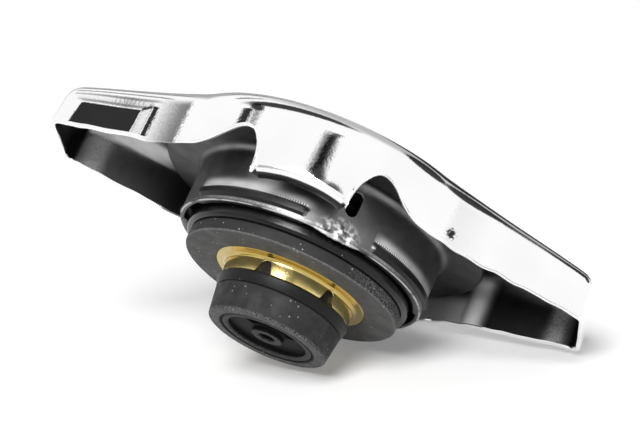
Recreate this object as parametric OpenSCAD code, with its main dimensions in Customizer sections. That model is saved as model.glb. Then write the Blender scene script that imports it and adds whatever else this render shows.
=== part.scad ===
// Spring-loaded bayonet cap for a radiator filler neck.
// Z is the cap's axis with the cover on top, X runs along the wings, and the origin is the
// centre of the valve's foot. All sizes are in millimetres.

/* [Cover] */
// Radius of the round body at the lower edge of the skirt
cover_r = 30.4; // [29:0.1:34]
// Thickness of the cover's sheet
cover_sheet = 0.9; // [0.6:0.1:1.2]
// Height from the wings' lower edge to the rim of the crown
cover_h = 11.7; // [10.5:0.1:14]
// Depth of the wings' lower edge below the cup's flange
edge_drop = 4.5; // [3:0.1:6]
// Radius of the rounded shoulder between skirt and crown
shoulder_r = 4.6; // [3.5:0.1:5.5]
// Rise of the crown above its rim
crown_h = 1.0; // [0:0.1:2]
// Distance by which the skirt leans in from its edge to the shoulder
skirt_lean = 0.2; // [0:0.05:0.5]

/* [Wings] */
// Distance from the axis to the end of a wing
wing_reach = 48.5; // [45:0.5:56]
// Width across the end of a wing
wing_end_w = 15.6; // [13:0.2:18]
// Angle between a wing's side and its length
wing_flare = 23; // [16:1:28]
// Radius of the hollow blend between a wing and the round body
wing_blend_r = 30; // [18:1:45]
// Corner radius at the wing's end, at the lower edge
wing_corner_r = 2; // [1:0.1:3]
// Radius of the rounded shoulder at the wing's end
wing_shoulder_r = 3.2; // [2:0.1:5]
// Fall of the wing's top for each millimetre outwards
wing_fall = 0.15; // [0.05:0.01:0.3]
// Distance from the axis at which the top starts to fall
wing_fall_start = 26; // [22:0.5:30]

/* [Tabs and scallops] */
// Angle that each skirt tab spans
tab_angle = 33.8; // [26:0.2:38]
// Depth of a tab's corners below the wings' lower edge
tab_drop = 3.1; // [2:0.1:4]
// Rise of the in-turned lip above the tab's corners
tab_lift = 1.3; // [0.8:0.1:1.6]
// Angle over which a tab's corner runs out into its lip
tab_run = 7.5; // [5:0.5:10]
// Width of the in-turned lip under a tab
tab_lip = 3; // [2:0.1:4]
// Bend radius of that lip
tab_bend = 1.4; // [1.2:0.1:1.8]
// Angle from a tab's side to the top of the scallop beside it
scallop_in = 6.6; // [4:0.2:8]
// Angle from the top of the scallop to its end towards the wing
scallop_out = 17; // [10:0.5:18]
// Height of the scallop above the wings' lower edge
scallop_h = 4; // [2:0.1:4.5]

/* [Bayonet cup] */
// Outer radius of the cup's wall
cup_r = 22; // [20.5:0.1:24]
// Thickness of the cup's sheet
cup_sheet = 0.8; // [0.6:0.1:1]
// Depth from the cup's flange to its lip
cup_depth = 10.45; // [10:0.05:13]
// Bend radius under the flange
cup_bend = 1.6; // [0.8:0.1:2.4]
// Clearance between the flange and the skirt
flange_gap = 0.2; // [0.1:0.05:0.5]
// Width by which the locking lips turn in
lock_lip_w = 0.6; // [0.4:0.1:0.9]
// Height of the locking lips
lock_lip_h = 0.7; // [0.5:0.1:1]
// Height of the locking lips' underside above the cup's rim
lock_lip_up = 0.1; // [0.05:0.05:0.3]
// Radius of the pressed bead's section
bead_r = 1; // [0.7:0.1:1.3]
// Height of the bead above the lip
bead_z = 2.3; // [2:0.1:4]
// Proud height of the bead
bead_proud = 0.6; // [0.3:0.05:0.7]
// Angle that each bead and locking lip spans
bead_angle = 59; // [40:1:70]
// Angle of the first bead's start, counted from the front
bead_start = -53; // [-70:1:-40]
// Number of beads round the wall
bead_count = 4; // [2:1:4]
// Width of the oval slots
slot_w = 2; // [1.4:0.1:3]
// Height of the oval slots
slot_h = 4.3; // [3.2:0.1:5]
// Height of the slots' centre above the lip
slot_z = 6.4; // [6:0.1:7]
// Angle of the first slot, counted from the front
slot_angle = 22.4; // [15:0.2:26]

/* [Valve stack] */
// Height of the rubber boot
boot_h = 4.9; // [4.6:0.1:6]
// Radius of the boot at the foot
boot_foot_r = 10.6; // [9.6:0.1:11]
// Radius of the boot at its top
boot_top_r = 11.3; // [10.8:0.1:11.8]
// Step of the plug's tapered shoulder ring beyond the tube, at the ring's top
plug_step = 1.05; // [0.8:0.05:2]
// Height of the plug's shoulder ring
plug_ring_h = 2; // [1.5:0.1:3]
// Height of the brass collar below the seal
collar_h = 2.95; // [2.6:0.05:4]
// Thickness of the brass
brass_t = 0.65; // [0.5:0.05:0.9]
// Radius of the brass flange
brass_flange_r = 13.5; // [13:0.1:15]
// Number of notches in the brass collar
notch_count = 6; // [4:1:8]
// Height of each notch
notch_h = 2.5; // [1.5:0.1:2.5]
// Width of each notch at the bottom
notch_w = 3.3; // [2:0.1:3.6]
// Angle of the first notch, counted from the front
notch_angle = -14; // [-30:1:30]
// Thickness of the upper seal
seal_t = 2.25; // [1.6:0.05:3]
// Ledge of the carrier outside the seal
seal_ledge = 0.9; // [0.5:0.1:2]
// Thickness of the carrier's plate
carrier_t = 1.2; // [0.8:0.1:1.8]
// Height of the carrier's rim
carrier_rim_h = 3.1; // [2.4:0.1:4]
// Width of the carrier's rim
carrier_rim_w = 1.1; // [0.8:0.1:1.6]
// Clearance between the carrier and the locking lips
carrier_gap = 0.5; // [0.3:0.05:1]
// Depth of the seal's upper face below the cup's lip, at rest
seal_drop = 1.8; // [1:0.1:2.5]

/* [Plug] */
// Outer radius of the plug's tube
tube_r = 10.9; // [10.6:0.1:11]
// Wall of the plug's tube
tube_wall = 2.1; // [1.6:0.1:2.4]
// Height of the tube above the carrier's plate
tube_over = 1.2; // [1.1:0.1:1.6]
// Thickness of the snap ring
snap_t = 0.8; // [0.6:0.1:0.9]
// Radius of the plug's stem
stem_r = 3; // [2.6:0.1:3.4]
// Outer radius of the hub inside the boot
hub_r = 8.3; // [8:0.1:8.6]
// Wall of the hub
hub_wall = 1.5; // [1.2:0.1:1.8]
// Number of vacuum ports
port_count = 6; // [4:1:8]
// Radius of each vacuum port
port_r = 0.7; // [0.5:0.05:0.8]

/* [Insert] */
// Thickness of the insert's web and rim together
insert_t = 1.5; // [1.3:0.1:1.7]
// Depth of the insert's recess
insert_recess = 0.9; // [0.5:0.1:1]
// Radius of the recess
insert_recess_r = 7; // [6.2:0.1:7.4]
// Radius of the boss round the centre hole
insert_boss_r = 2.8; // [2.4:0.1:3]
// Outer radius of the kidney slot
kidney_r = 5.5; // [4.6:0.1:6]
// Angle that the kidney slot spans
kidney_angle = 98; // [60:2:140]
// Angle of the kidney slot's start, counted from the front
kidney_start = -37; // [-60:1:0]

/* [Cage and springs] */
// Thickness of the cage's sheet
cage_sheet = 0.6; // [0.5:0.1:0.8]
// Thickness of the spring seat
seat_t = 0.6; // [0.5:0.1:0.9]
// Thickness of the reaction plate
plate_t = 0.9; // [0.6:0.1:1.2]
// Radius of the rivet's shank
rivet_r = 2.5; // [2:0.1:2.8]
// Height of the rivet's heads
rivet_head_h = 1.2; // [0.9:0.1:1.4]
// Wire of the pressure spring
spring_wire = 1.6; // [1.2:0.1:1.8]
// Radius of the pressure spring's small end
spring_small_r = 11; // [10.2:0.1:12]
// Turns of the pressure spring
spring_turns = 4; // [3:0.5:4.5]
// Wire of the vacuum spring
vacuum_wire = 0.4; // [0.3:0.05:0.45]
// Turns of the vacuum spring
vacuum_turns = 2.5; // [2:0.5:2.5]

/* [Clearances] */
// Radial clearance of pieces that are pushed together
push_gap = 0.03; // [0.02:0.01:0.06]
// Radial clearance of pieces that turn or slide on each other
running_gap = 0.06; // [0.03:0.01:0.09]
// Free room at the end of a stroke
stroke_gap = 0.4; // [0.3:0.05:0.6]

/* [Hidden] */
$fn = 96;
over = 1;

chrome = [0.86, 0.87, 0.88];
steel = [0.55, 0.56, 0.57];
dark_steel = [0.40, 0.41, 0.42];
black_plastic = [0.07, 0.07, 0.08];
rubber = [0.16, 0.16, 0.17];
brass = [0.80, 0.64, 0.28];

// Heights of the valve stack, counted from the foot
z_ring = boot_h;
z_collar = z_ring + plug_ring_h;
z_seal = z_collar + collar_h;
z_carrier = z_seal + seal_t;
z_carrier_top = z_carrier + carrier_t;
z_rim_top = z_carrier + carrier_rim_h;
z_tube_top = z_carrier_top + tube_over;

// Heights of the cap shell
z_lip = z_carrier + seal_drop;
z_flange = z_lip + cup_depth;
z_plate = z_flange + cup_sheet;
z_plate_top = z_plate + plate_t;
z_edge = z_flange - edge_drop;
z_crown = z_edge + cover_h;
z_shoulder = z_crown - shoulder_r;
z_tab = z_edge - tab_drop;
z_scallop = z_edge + scallop_h;

// Cage, stem and the stroke that they leave
stop_t = 1.5;
stem_head_h = 0.8;
z_seat = z_plate - seat_t;
z_cage_top = z_seat - cage_sheet;
stroke_room = z_cage_top - rivet_head_h - cage_sheet - stop_t - stem_head_h - z_collar;
valve_stroke = stroke_room / 2 - stroke_gap;
z_cage = z_collar + valve_stroke + stroke_gap;
z_stop = z_cage + cage_sheet;
z_stem_head = z_stop + stop_t;
well_r = tube_r - tube_wall;
cage_r = well_r - stroke_gap;
cage_inner_r = cage_r - cage_sheet;
stop_r = cage_inner_r - 2 * stroke_gap;
stem_hole_r = stem_r + stroke_gap;
stem_neck_step = 1;
stem_head_step = 0.2;
neck_r = stem_r - stem_neck_step;
stem_head_r = stem_r - stem_head_step;

// Radii of the cap shell and of what slides in it
cup_inner_r = cup_r - cup_sheet;
flange_r = cover_r - cover_sheet - skirt_lean - flange_gap;
carrier_r = cup_inner_r - lock_lip_w - carrier_gap;
seal_r = carrier_r - seal_ledge;
sleeve_r = tube_r + push_gap;
collar_r = sleeve_r + brass_t;
plug_r = tube_r + plug_step;
snap_groove_depth = 0.5;
snap_reach = 1.3;
snap_groove_r = tube_r - snap_groove_depth;
snap_r = tube_r + snap_reach;
spring_big_r = carrier_r - carrier_rim_w - spring_wire / 2 - stroke_gap;
seat_r = spring_small_r + 1.5 * spring_wire;
rivet_head_r = 2 * rivet_r;
plate_rim_h = z_shoulder + shoulder_r / 4 - z_plate;

// Foot and vacuum valve
insert_lift = 0.1;
z_insert_top = insert_lift + insert_t;
boot_rib_w = 0.6;
boot_rib_h = 0.8;
boot_rib_z = (z_insert_top + z_ring) / 2;
hub_inner_r = hub_r - hub_wall;
vacuum_seal_t = 0.8;
poppet_t = 0.7;
guide_h = 0.6;
guide_step = 0.2;
guide_r = insert_boss_r - guide_step;
guide_hole_r = 1.5;
poppet_stem_r = guide_hole_r - running_gap;
poppet_gap = 1;
poppet_r = hub_inner_r - poppet_gap;
z_poppet = z_ring - vacuum_seal_t - poppet_t;
vacuum_stroke = z_poppet - z_insert_top - guide_h - stroke_gap / 2;
foot_gap = 0.1;
z_poppet_foot = insert_lift + vacuum_stroke + foot_gap;
spigot_r = guide_hole_r;
port_circle_r = (stem_r + poppet_r) / 2;
vacuum_spring_inset = 1.6;
vacuum_spring_r = poppet_r - vacuum_spring_inset;

// Points of an arc with a given centre and radius
function arc(centre, r, from, to, steps) = [
    for (i = [0 : steps]) let (a = from + (to - from) * i / steps) centre + r * [cos(a), sin(a)]
];
function mix(a, b, t) = a + (b - a) * t;
function ease(t) = let (s = max(0, min(1, t))) s * s * (3 - 2 * s);

// Turns a direction counted from the front into one counted from the X axis
function from_front(angle) = angle - 90;

// One quarter of the cover's outline, from the wing's end round to the tab.
// Each column of the loft keeps its place on the outline at every inset.
end_steps = 2;
corner_steps = 4;
side_steps = 3;
blend_steps = 4;
body_steps = 3;
flank_steps = 6;
scallop_steps = 5;
tab_steps = 6;
corner_from = end_steps;
side_from = corner_from + corner_steps;
blend_from = side_from + side_steps;
body_from = blend_from + blend_steps;
flank_from = body_from + body_steps;
scallop_from = flank_from + flank_steps;
tab_from = scallop_from + scallop_steps;
quarter = tab_from + tab_steps;
columns = 4 * quarter;

side_turn = 90 - wing_flare;
side_normal = [cos(side_turn), sin(side_turn)];
side_distance = side_normal * [wing_reach, wing_end_w / 2];
blend_turn = side_turn - acos((side_distance + wing_blend_r) / (cover_r + wing_blend_r));
blend_centre = (cover_r + wing_blend_r) * [cos(blend_turn), sin(blend_turn)];

// Shoulder radius at a distance along the wings
function shoulder_at(x) =
    mix(shoulder_r, wing_shoulder_r, ease((abs(x) - cover_r) / (wing_reach - cover_r)));

function corner_centre(inset, corner_r) = let (
    x = wing_reach - inset - corner_r,
    y = (side_distance - inset - corner_r - x * side_normal[0]) / side_normal[1]
) [x, y];

// Angle from the front at column i of the round body
scallop_at = tab_angle / 2 + scallop_in;
scallop_end = scallop_at + scallop_out;
function body_angle(i) =
    i <= flank_from ? mix(90 - blend_turn, scallop_end, (i - body_from) / body_steps)
    : i <= scallop_from ? mix(scallop_end, scallop_at, (i - flank_from) / flank_steps)
    : i <= tab_from ? scallop_at - scallop_in * sin(90 * (i - scallop_from) / scallop_steps)
    : tab_angle / 2 * (1 - pow((i - tab_from) / tab_steps, 1.5));

function quarter_point(i, inset, corner_r) =
    i <= corner_from ? mix([wing_reach - inset, 0],
        corner_centre(inset, corner_r) + [corner_r, 0], i / end_steps)
    : i <= side_from ? let (a = side_turn * (i - corner_from) / corner_steps)
        corner_centre(inset, corner_r) + corner_r * [cos(a), sin(a)]
    : i <= blend_from ? mix(corner_centre(inset, corner_r) + corner_r * side_normal,
        blend_centre - (wing_blend_r + inset) * side_normal, (i - side_from) / side_steps)
    : i <= body_from ? let (a = mix(side_turn, blend_turn, (i - blend_from) / blend_steps))
        blend_centre - (wing_blend_r + inset) * [cos(a), sin(a)]
    : let (a = 90 - body_angle(i)) (cover_r - inset) * [cos(a), sin(a)];

// Column of the quarter that stands for column j of the whole loop, and its mirror signs
function quarter_of(j) = let (k = j % (2 * quarter)) k <= quarter ? k : 2 * quarter - k;
function sign_x(j) = j > quarter && j < 3 * quarter ? -1 : 1;
function sign_y(j) = j > 2 * quarter ? -1 : 1;
function plan(j, inset, corner_r) = let (p = quarter_point(quarter_of(j), inset, corner_r))
    [sign_x(j) * p[0], sign_y(j) * p[1]];

// How far a tab's lip is turned in, and the lower edge of the skirt, at quarter column i
function lip_share(i) = i <= tab_from ? 0 : ease((tab_angle / 2 - body_angle(i)) / tab_run);
function edge_z(i) =
    i <= flank_from ? z_edge
    : i <= scallop_from ? z_edge + scallop_h * (1 - cos(180 * (i - flank_from) / flank_steps)) / 2
    : i <= tab_from ? z_tab + (z_scallop - z_tab) * cos(90 * (i - scallop_from) / scallop_steps)
    : z_tab + tab_lift * lip_share(i);

// Height of the cover's top at a distance along the wings
fall_ease = 4;
function top_z(x) = let (d = abs(x) - wing_fall_start)
    z_crown - wing_fall * (d + sqrt(d * d + fall_ease * fall_ease)) / 2;

// Inset and height of the skirt at step k, for the skin that lies t inside the outer one
wall_steps = 6;
function plain_wall(low, high, k, t) = [t, mix(low, high, k / wall_steps)];
function hooked_wall(low, high, k, t) =
    k == 0 ? [tab_lip, low + t]
    : k <= 3 ? let (a = 45 * (k - 1), r = tab_bend - t)
        [tab_bend - r * sin(a), low + tab_bend - r * cos(a)]
    : [t, mix(low + tab_bend, high, (k - 3) / (wall_steps - 3))];

function wall_point(j, k, t) = let (
    i = quarter_of(j),
    foot = plan(j, 0, wing_corner_r),
    round_r = shoulder_at(foot[0]),
    high = top_z(foot[0]) - round_r,
    at = mix(plain_wall(edge_z(i), high, k, t), hooked_wall(edge_z(i), high, k, t), lip_share(i)),
    up = max(0, min(1, (at[1] - z_edge) / (high - z_edge))),
    p = plan(j, at[0] + skirt_lean * up, mix(wing_corner_r, round_r, up))
) [p[0], p[1], at[1]];

function shoulder_point(j, turn, t) = let (
    foot = plan(j, 0, wing_corner_r),
    round_r = shoulder_at(foot[0]),
    r = round_r - t,
    step_in = r * (1 - cos(turn)),
    p = plan(j, skirt_lean + t + step_in, round_r - 0.8 * step_in)
) [p[0], p[1], top_z(p[0]) - round_r + r * sin(turn)];

// The crown closes towards the line between the wings
function crown_point(j, share, t) = let (
    p = shoulder_point(j, 90, t),
    x = p[0] * (1 - 0.1 * share),
    rise = crown_h * abs(p[1]) / (cover_r - shoulder_r)
) [x, p[1] * (1 - share), top_z(x) - t + rise * (1 - pow(1 - share, 2))];

shoulder_steps = 4;
crown_steps = 4;
function shoulder_turn(k) = 90 * k / shoulder_steps;
function crown_share(k) = 0.97 * sin(90 * k / crown_steps);
function skin(t) = concat(
    [for (k = [0 : wall_steps]) [for (j = [0 : columns - 1]) wall_point(j, k, t)]],
    [for (k = [1 : shoulder_steps]) [for (j = [0 : columns - 1]) shoulder_point(j, shoulder_turn(k), t)]],
    [for (k = [1 : crown_steps]) [for (j = [0 : columns - 1]) crown_point(j, crown_share(k), t)]]
);

// Triangles between neighbouring rings of a loft that has n columns
function band_faces(rings, n) = [
    for (r = [0 : rings - 2], j = [0 : n - 1], half = [0, 1]) let (
        a = r * n + j,
        b = r * n + (j + 1) % n
    ) half == 0 ? [a, b, b + n] : [a, b + n, a + n]
];
// Triangles that close a ring across the line between its two mirrored halves
function seam_faces(first, n) = [
    for (j = [0 : n / 2 - 1], half = [0, 1]) let (
        a = first + j,
        b = first + j + 1,
        c = first + n - j - 1,
        d = first + (n - j) % n
    ) if (half == 0 ? b != c : a != d) half == 0 ? [a, b, c] : [a, c, d]
];
function flipped(faces) = [for (f = faces) [f[2], f[1], f[0]]];

module outer_cover() {
    outer = skin(0);
    inner = skin(cover_sheet);
    rings = concat([for (k = [len(outer) - 1 : -1 : 0]) outer[k]], inner);
    last = (len(rings) - 1) * columns;
    color(chrome)
        polyhedron(
            points = [for (ring = rings, p = ring) p],
            faces = concat(
                band_faces(len(rings), columns),
                flipped(seam_faces(0, columns)),
                seam_faces(last, columns)
            )
        );
}

// Ring made by turning a section about the axis
module turned(section) {
    rotate_extrude()
        polygon(section);
}

module turned_part(section, from, angle) {
    rotate([0, 0, from_front(from)])
        rotate_extrude(angle = angle)
            polygon(section);
}

function box_section(r0, r1, z0, z1) = [[r0, z0], [r1, z0], [r1, z1], [r0, z1]];

// Bead along the wall that fades out in steps at both ends
bead_steps = 3;
bead_fade = 1.2;
module bead(wall_r, from) {
    for (i = [0 : bead_steps - 1]) {
        proud = bead_proud * (bead_steps - i) / bead_steps;
        rotate([0, 0, from_front(from - i * bead_fade)])
            rotate_extrude(angle = bead_angle + 2 * i * bead_fade)
                translate([wall_r + proud - bead_r, z_lip + bead_z])
                    circle(bead_r, $fn = 48);
    }
}

module oval_slot(angle) {
    half = (slot_h - slot_w) / 2;
    rotate([0, 0, from_front(angle)])
        translate([cup_inner_r - over, 0, z_lip + slot_z])
            rotate([0, 90, 0]) {
                for (s = [-1, 1])
                    translate([s * half, 0, 0])
                        cylinder(r = slot_w / 2, h = cup_sheet + 2 * over);
                translate([-half, -slot_w / 2, 0])
                    cube([2 * half, slot_w, cup_sheet + 2 * over]);
            }
}

function cup_section() = let (bend = [cup_r + cup_bend, z_flange - cup_bend]) concat(
    [[cup_inner_r, z_lip], [cup_r, z_lip]],
    arc(bend, cup_bend, 180, 90, 6),
    [[flange_r, z_flange], [flange_r, z_plate]],
    arc(bend, cup_bend + cup_sheet, 90, 180, 6)
);

function lock_lip_section() = let (low = z_lip + lock_lip_up)
    box_section(cup_inner_r - lock_lip_w, cup_r - cup_sheet / 2, low, low + lock_lip_h);

module bayonet_cup() {
    bead_pitch = 360 / bead_count;
    starts = [for (i = [0 : bead_count - 1]) bead_start + i * bead_pitch];
    color(steel)
        difference() {
            union() {
                turned(cup_section());
                for (from = starts) {
                    bead(cup_r, from);
                    turned_part(lock_lip_section(), from, bead_angle);
                }
            }
            for (from = starts)
                bead(cup_inner_r, from);
            for (a = [0, 180])
                oval_slot(slot_angle + a);
        }
}

// Pan with an upturned rim that bears in the cover's shoulder
module reaction_plate() {
    rim_r = flange_r - flange_gap;
    color(dark_steel)
        turned([
            [rivet_r + push_gap, z_plate],
            [rim_r - plate_t / 2, z_plate],
            [rim_r, z_plate + plate_t / 2],
            [rim_r, z_plate + plate_rim_h],
            [rim_r - plate_t, z_plate + plate_rim_h],
            [rim_r - plate_t, z_plate_top],
            [rivet_r + push_gap, z_plate_top]
        ]);
}

module centre_rivet() {
    z_low = z_cage_top - rivet_head_h;
    head_edge = rivet_head_h / 2;
    color(steel)
        turned([
            [0, z_low],
            [rivet_head_r - head_edge, z_low],
            [rivet_head_r, z_low + head_edge],
            [rivet_head_r, z_cage_top - running_gap],
            [rivet_r, z_cage_top - running_gap],
            [rivet_r, z_plate_top],
            [rivet_head_r, z_plate_top],
            [rivet_head_r, z_plate_top + head_edge],
            [rivet_head_r - head_edge, z_plate_top + rivet_head_h],
            [0, z_plate_top + rivet_head_h]
        ]);
}

module spring_seat() {
    color(steel)
        turned(box_section(rivet_r + running_gap, seat_r, z_seat, z_plate));
}

// Bell with an in-turned lip that catches the stem's stop
module spring_cage() {
    color(steel)
        turned([
            [rivet_r + running_gap, z_cage_top],
            [cage_inner_r, z_cage_top],
            [cage_inner_r, z_stop],
            [stem_hole_r, z_stop],
            [stem_hole_r, z_cage],
            [cage_r, z_cage],
            [cage_r, z_seat],
            [rivet_r + running_gap, z_seat]
        ]);
}

// Wire coil between two heights, with short flat ends
coil_flat = 0.3;
coil_ring_steps = 18;
function coil_share(turn, turns) = max(0, min(1, (turn - coil_flat) / (turns - 2 * coil_flat)));
function coil_ring(turn, turns, r0, r1, z0, z1, wire_r, sides) = let (
    share = coil_share(turn, turns),
    r = mix(r0, r1, share),
    z = mix(z0, z1, share),
    a = 360 * turn
) [
    for (s = [0 : sides - 1]) let (b = 360 * (s + 0.5) / sides, out = r + wire_r * cos(b))
        [out * cos(a), out * sin(a), z + wire_r * sin(b)]
];

module coil(r0, r1, z0, z1, wire, turns, sides) {
    steps = round(turns * coil_ring_steps);
    wire_r = wire / 2;
    rings = [
        for (i = [0 : steps])
            coil_ring(turns * i / steps, turns, r0, r1, z0 + wire_r, z1 - wire_r, wire_r, sides)
    ];
    polyhedron(
        points = [for (ring = rings, p = ring) p],
        faces = concat(
            [[for (s = [0 : sides - 1]) s]],
            flipped(band_faces(len(rings), sides)),
            [[for (s = [sides - 1 : -1 : 0]) steps * sides + s]]
        )
    );
}

module pressure_spring() {
    color(steel)
        coil(spring_big_r, spring_small_r, z_carrier_top, z_seat, spring_wire, spring_turns, 8);
}

function carrier_section() = let (
    edge = carrier_rim_w * 0.7,
    low = [carrier_r - edge, z_carrier + edge],
    high = [carrier_r - edge, z_rim_top - edge]
) concat(
    [[sleeve_r, z_carrier]],
    arc(low, edge, -90, 0, 5),
    arc(high, edge, 0, 90, 5),
    [
        [carrier_r - carrier_rim_w, z_rim_top],
        [carrier_r - carrier_rim_w, z_carrier_top],
        [sleeve_r, z_carrier_top]
    ]
);

module seal_carrier() {
    color(black_plastic)
        turned(carrier_section());
}

// Rubber disc with a counterbore for the brass flange
module upper_seal() {
    bevel = 0.2;
    color(rubber)
        turned([
            [brass_flange_r + push_gap, z_seal],
            [seal_r - bevel, z_seal],
            [seal_r, z_seal + bevel],
            [seal_r, z_carrier - bevel],
            [seal_r - bevel, z_carrier],
            [sleeve_r, z_carrier],
            [sleeve_r, z_seal + brass_t],
            [brass_flange_r + push_gap, z_seal + brass_t]
        ]);
}

module collar_notch(angle) {
    top_r = 0.3 * notch_w;
    rotate([0, 0, from_front(angle)])
        translate([tube_r - over, 0, z_collar])
            rotate([90, 0, 90])
                linear_extrude(2 * over + brass_t) {
                    polygon([
                        [-notch_w / 2, -over],
                        [notch_w / 2, -over],
                        [top_r, notch_h - top_r],
                        [-top_r, notch_h - top_r]
                    ]);
                    translate([0, notch_h - top_r])
                        circle(top_r, $fn = 32);
                }
}

module brass_retainer() {
    root = brass_t;
    color(brass)
        difference() {
            turned(concat(
                [[sleeve_r, z_collar], [collar_r, z_collar]],
                arc([collar_r + root, z_seal - root], root, 180, 90, 5),
                [
                    [brass_flange_r, z_seal],
                    [brass_flange_r, z_seal + brass_t],
                    [sleeve_r, z_seal + brass_t]
                ]
            ));
            for (i = [0 : notch_count - 1])
                collar_notch(notch_angle + 360 * i / notch_count);
        }
}

// Open wire ring that holds the carrier on the tube
module snap_ring() {
    opening = 24;
    color(steel)
        turned_part(
            box_section(snap_groove_r, snap_r, z_carrier_top, z_carrier_top + snap_t),
            180 + opening / 2, 360 - opening);
}

function plug_section() = [
    [0, z_ring],
    [hub_inner_r, z_ring],
    [hub_inner_r, z_insert_top],
    [hub_r, z_insert_top],
    [hub_r, boot_rib_z - boot_rib_h / 2 - push_gap],
    [hub_r - boot_rib_w, boot_rib_z - boot_rib_h / 2 - push_gap],
    [hub_r - boot_rib_w, boot_rib_z + boot_rib_h / 2 + push_gap],
    [hub_r, boot_rib_z + boot_rib_h / 2 + push_gap],
    [hub_r, z_ring],
    [boot_top_r, z_ring],
    [plug_r, z_collar],
    [tube_r, z_collar],
    [tube_r, z_carrier_top],
    [snap_groove_r, z_carrier_top],
    [snap_groove_r, z_carrier_top + snap_t],
    [tube_r, z_carrier_top + snap_t],
    [tube_r, z_tube_top],
    [well_r, z_tube_top],
    [well_r, z_collar],
    [stem_r, z_collar],
    [stem_r, z_stop],
    [neck_r, z_stop],
    [neck_r, z_stem_head],
    [stem_head_r, z_stem_head],
    [stem_head_r, z_stem_head + stem_head_h],
    [0, z_stem_head + stem_head_h]
];

// Plug with its shoulder ring, hub, tube, ported web and headed stem
module valve_body() {
    color(black_plastic)
        difference() {
            turned(plug_section());
            for (i = [0 : port_count - 1])
                rotate([0, 0, 360 * i / port_count])
                    translate([port_circle_r, 0, z_ring - over])
                        cylinder(r = port_r, h = plug_ring_h + 2 * over);
        }
}

module stem_stop() {
    color(steel)
        turned(box_section(neck_r + push_gap, stop_r, z_stop, z_stem_head));
}

// Tapered sleeve with a rib that snaps into the hub
module valve_boot() {
    foot_edge = 0.4;
    top_edge = 0.3;
    inner_r = hub_r + push_gap;
    color(rubber)
        turned(concat(
            [[inner_r, 0]],
            arc([boot_foot_r - foot_edge, foot_edge], foot_edge, -90, 0, 4),
            [
                [boot_top_r, z_ring - top_edge],
                [boot_top_r - top_edge, z_ring],
                [inner_r, z_ring],
                [inner_r, boot_rib_z + boot_rib_h / 2],
                [inner_r - boot_rib_w, boot_rib_z + boot_rib_h / 2],
                [inner_r - boot_rib_w, boot_rib_z - boot_rib_h / 2],
                [inner_r, boot_rib_z - boot_rib_h / 2]
            ]
        ));
}

module kidney_slot() {
    inner_r = insert_boss_r + 0.5;
    mid_r = (inner_r + kidney_r) / 2;
    end_r = (kidney_r - inner_r) / 2;
    turned_part(box_section(inner_r, kidney_r, -over, z_insert_top + over), kidney_start, kidney_angle);
    for (a = [0, kidney_angle])
        rotate([0, 0, from_front(kidney_start + a)])
            translate([mid_r, 0, -over])
                cylinder(r = end_r, h = z_insert_top + 2 * over);
}

// Disc that closes the foot and guides the vacuum valve
module valve_insert() {
    z_web = insert_lift + insert_recess;
    color(black_plastic)
        difference() {
            turned([
                [guide_hole_r, insert_lift],
                [insert_boss_r, insert_lift],
                [insert_boss_r, z_web],
                [insert_recess_r, z_web],
                [insert_recess_r, insert_lift],
                [hub_r, insert_lift],
                [hub_r, z_insert_top],
                [guide_r, z_insert_top],
                [guide_r, z_insert_top + guide_h],
                [guide_hole_r, z_insert_top + guide_h]
            ]);
            kidney_slot();
        }
}

module vacuum_poppet() {
    z_plate_up = z_poppet + poppet_t;
    spigot_h = vacuum_seal_t / 2;
    color(brass)
        turned([
            [0, z_poppet_foot],
            [poppet_stem_r, z_poppet_foot],
            [poppet_stem_r, z_poppet],
            [poppet_r, z_poppet],
            [poppet_r, z_plate_up],
            [spigot_r, z_plate_up],
            [spigot_r, z_plate_up + spigot_h],
            [0, z_plate_up + spigot_h]
        ]);
}

module vacuum_seal() {
    color(rubber)
        turned(box_section(spigot_r + push_gap, poppet_r, z_poppet + poppet_t, z_ring));
}

module vacuum_spring() {
    color(steel)
        coil(vacuum_spring_r, vacuum_spring_r, z_insert_top, z_poppet, vacuum_wire, vacuum_turns, 6);
}

outer_cover();
bayonet_cup();
reaction_plate();
centre_rivet();
spring_seat();
spring_cage();
pressure_spring();
seal_carrier();
upper_seal();
brass_retainer();
snap_ring();
valve_body();
stem_stop();
valve_boot();
valve_insert();
vacuum_poppet();
vacuum_seal();
vacuum_spring();
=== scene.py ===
import math

import bmesh
import bpy
from mathutils import Matrix, Vector, noise


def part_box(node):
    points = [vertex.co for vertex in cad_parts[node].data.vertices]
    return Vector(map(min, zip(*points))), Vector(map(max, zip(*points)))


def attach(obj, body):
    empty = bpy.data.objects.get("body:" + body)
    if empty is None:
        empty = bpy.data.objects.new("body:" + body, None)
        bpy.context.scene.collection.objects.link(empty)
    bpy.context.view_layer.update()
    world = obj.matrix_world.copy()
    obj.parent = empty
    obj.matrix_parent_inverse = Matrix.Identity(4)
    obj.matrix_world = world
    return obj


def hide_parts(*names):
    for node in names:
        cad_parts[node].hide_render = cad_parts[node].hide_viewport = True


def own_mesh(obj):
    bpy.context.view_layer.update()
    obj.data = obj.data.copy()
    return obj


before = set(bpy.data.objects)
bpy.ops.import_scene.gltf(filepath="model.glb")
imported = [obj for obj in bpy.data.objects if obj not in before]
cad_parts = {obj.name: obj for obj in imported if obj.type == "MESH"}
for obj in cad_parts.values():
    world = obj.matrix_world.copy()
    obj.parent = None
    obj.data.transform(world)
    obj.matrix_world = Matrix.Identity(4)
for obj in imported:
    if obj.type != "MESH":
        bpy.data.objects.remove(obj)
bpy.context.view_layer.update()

# Lengths are metres, angles radians, and directions round the cap count from its front, the -Y side
MM = 0.001
DEGREE = math.pi / 180
TURN = 2 * math.pi

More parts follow.
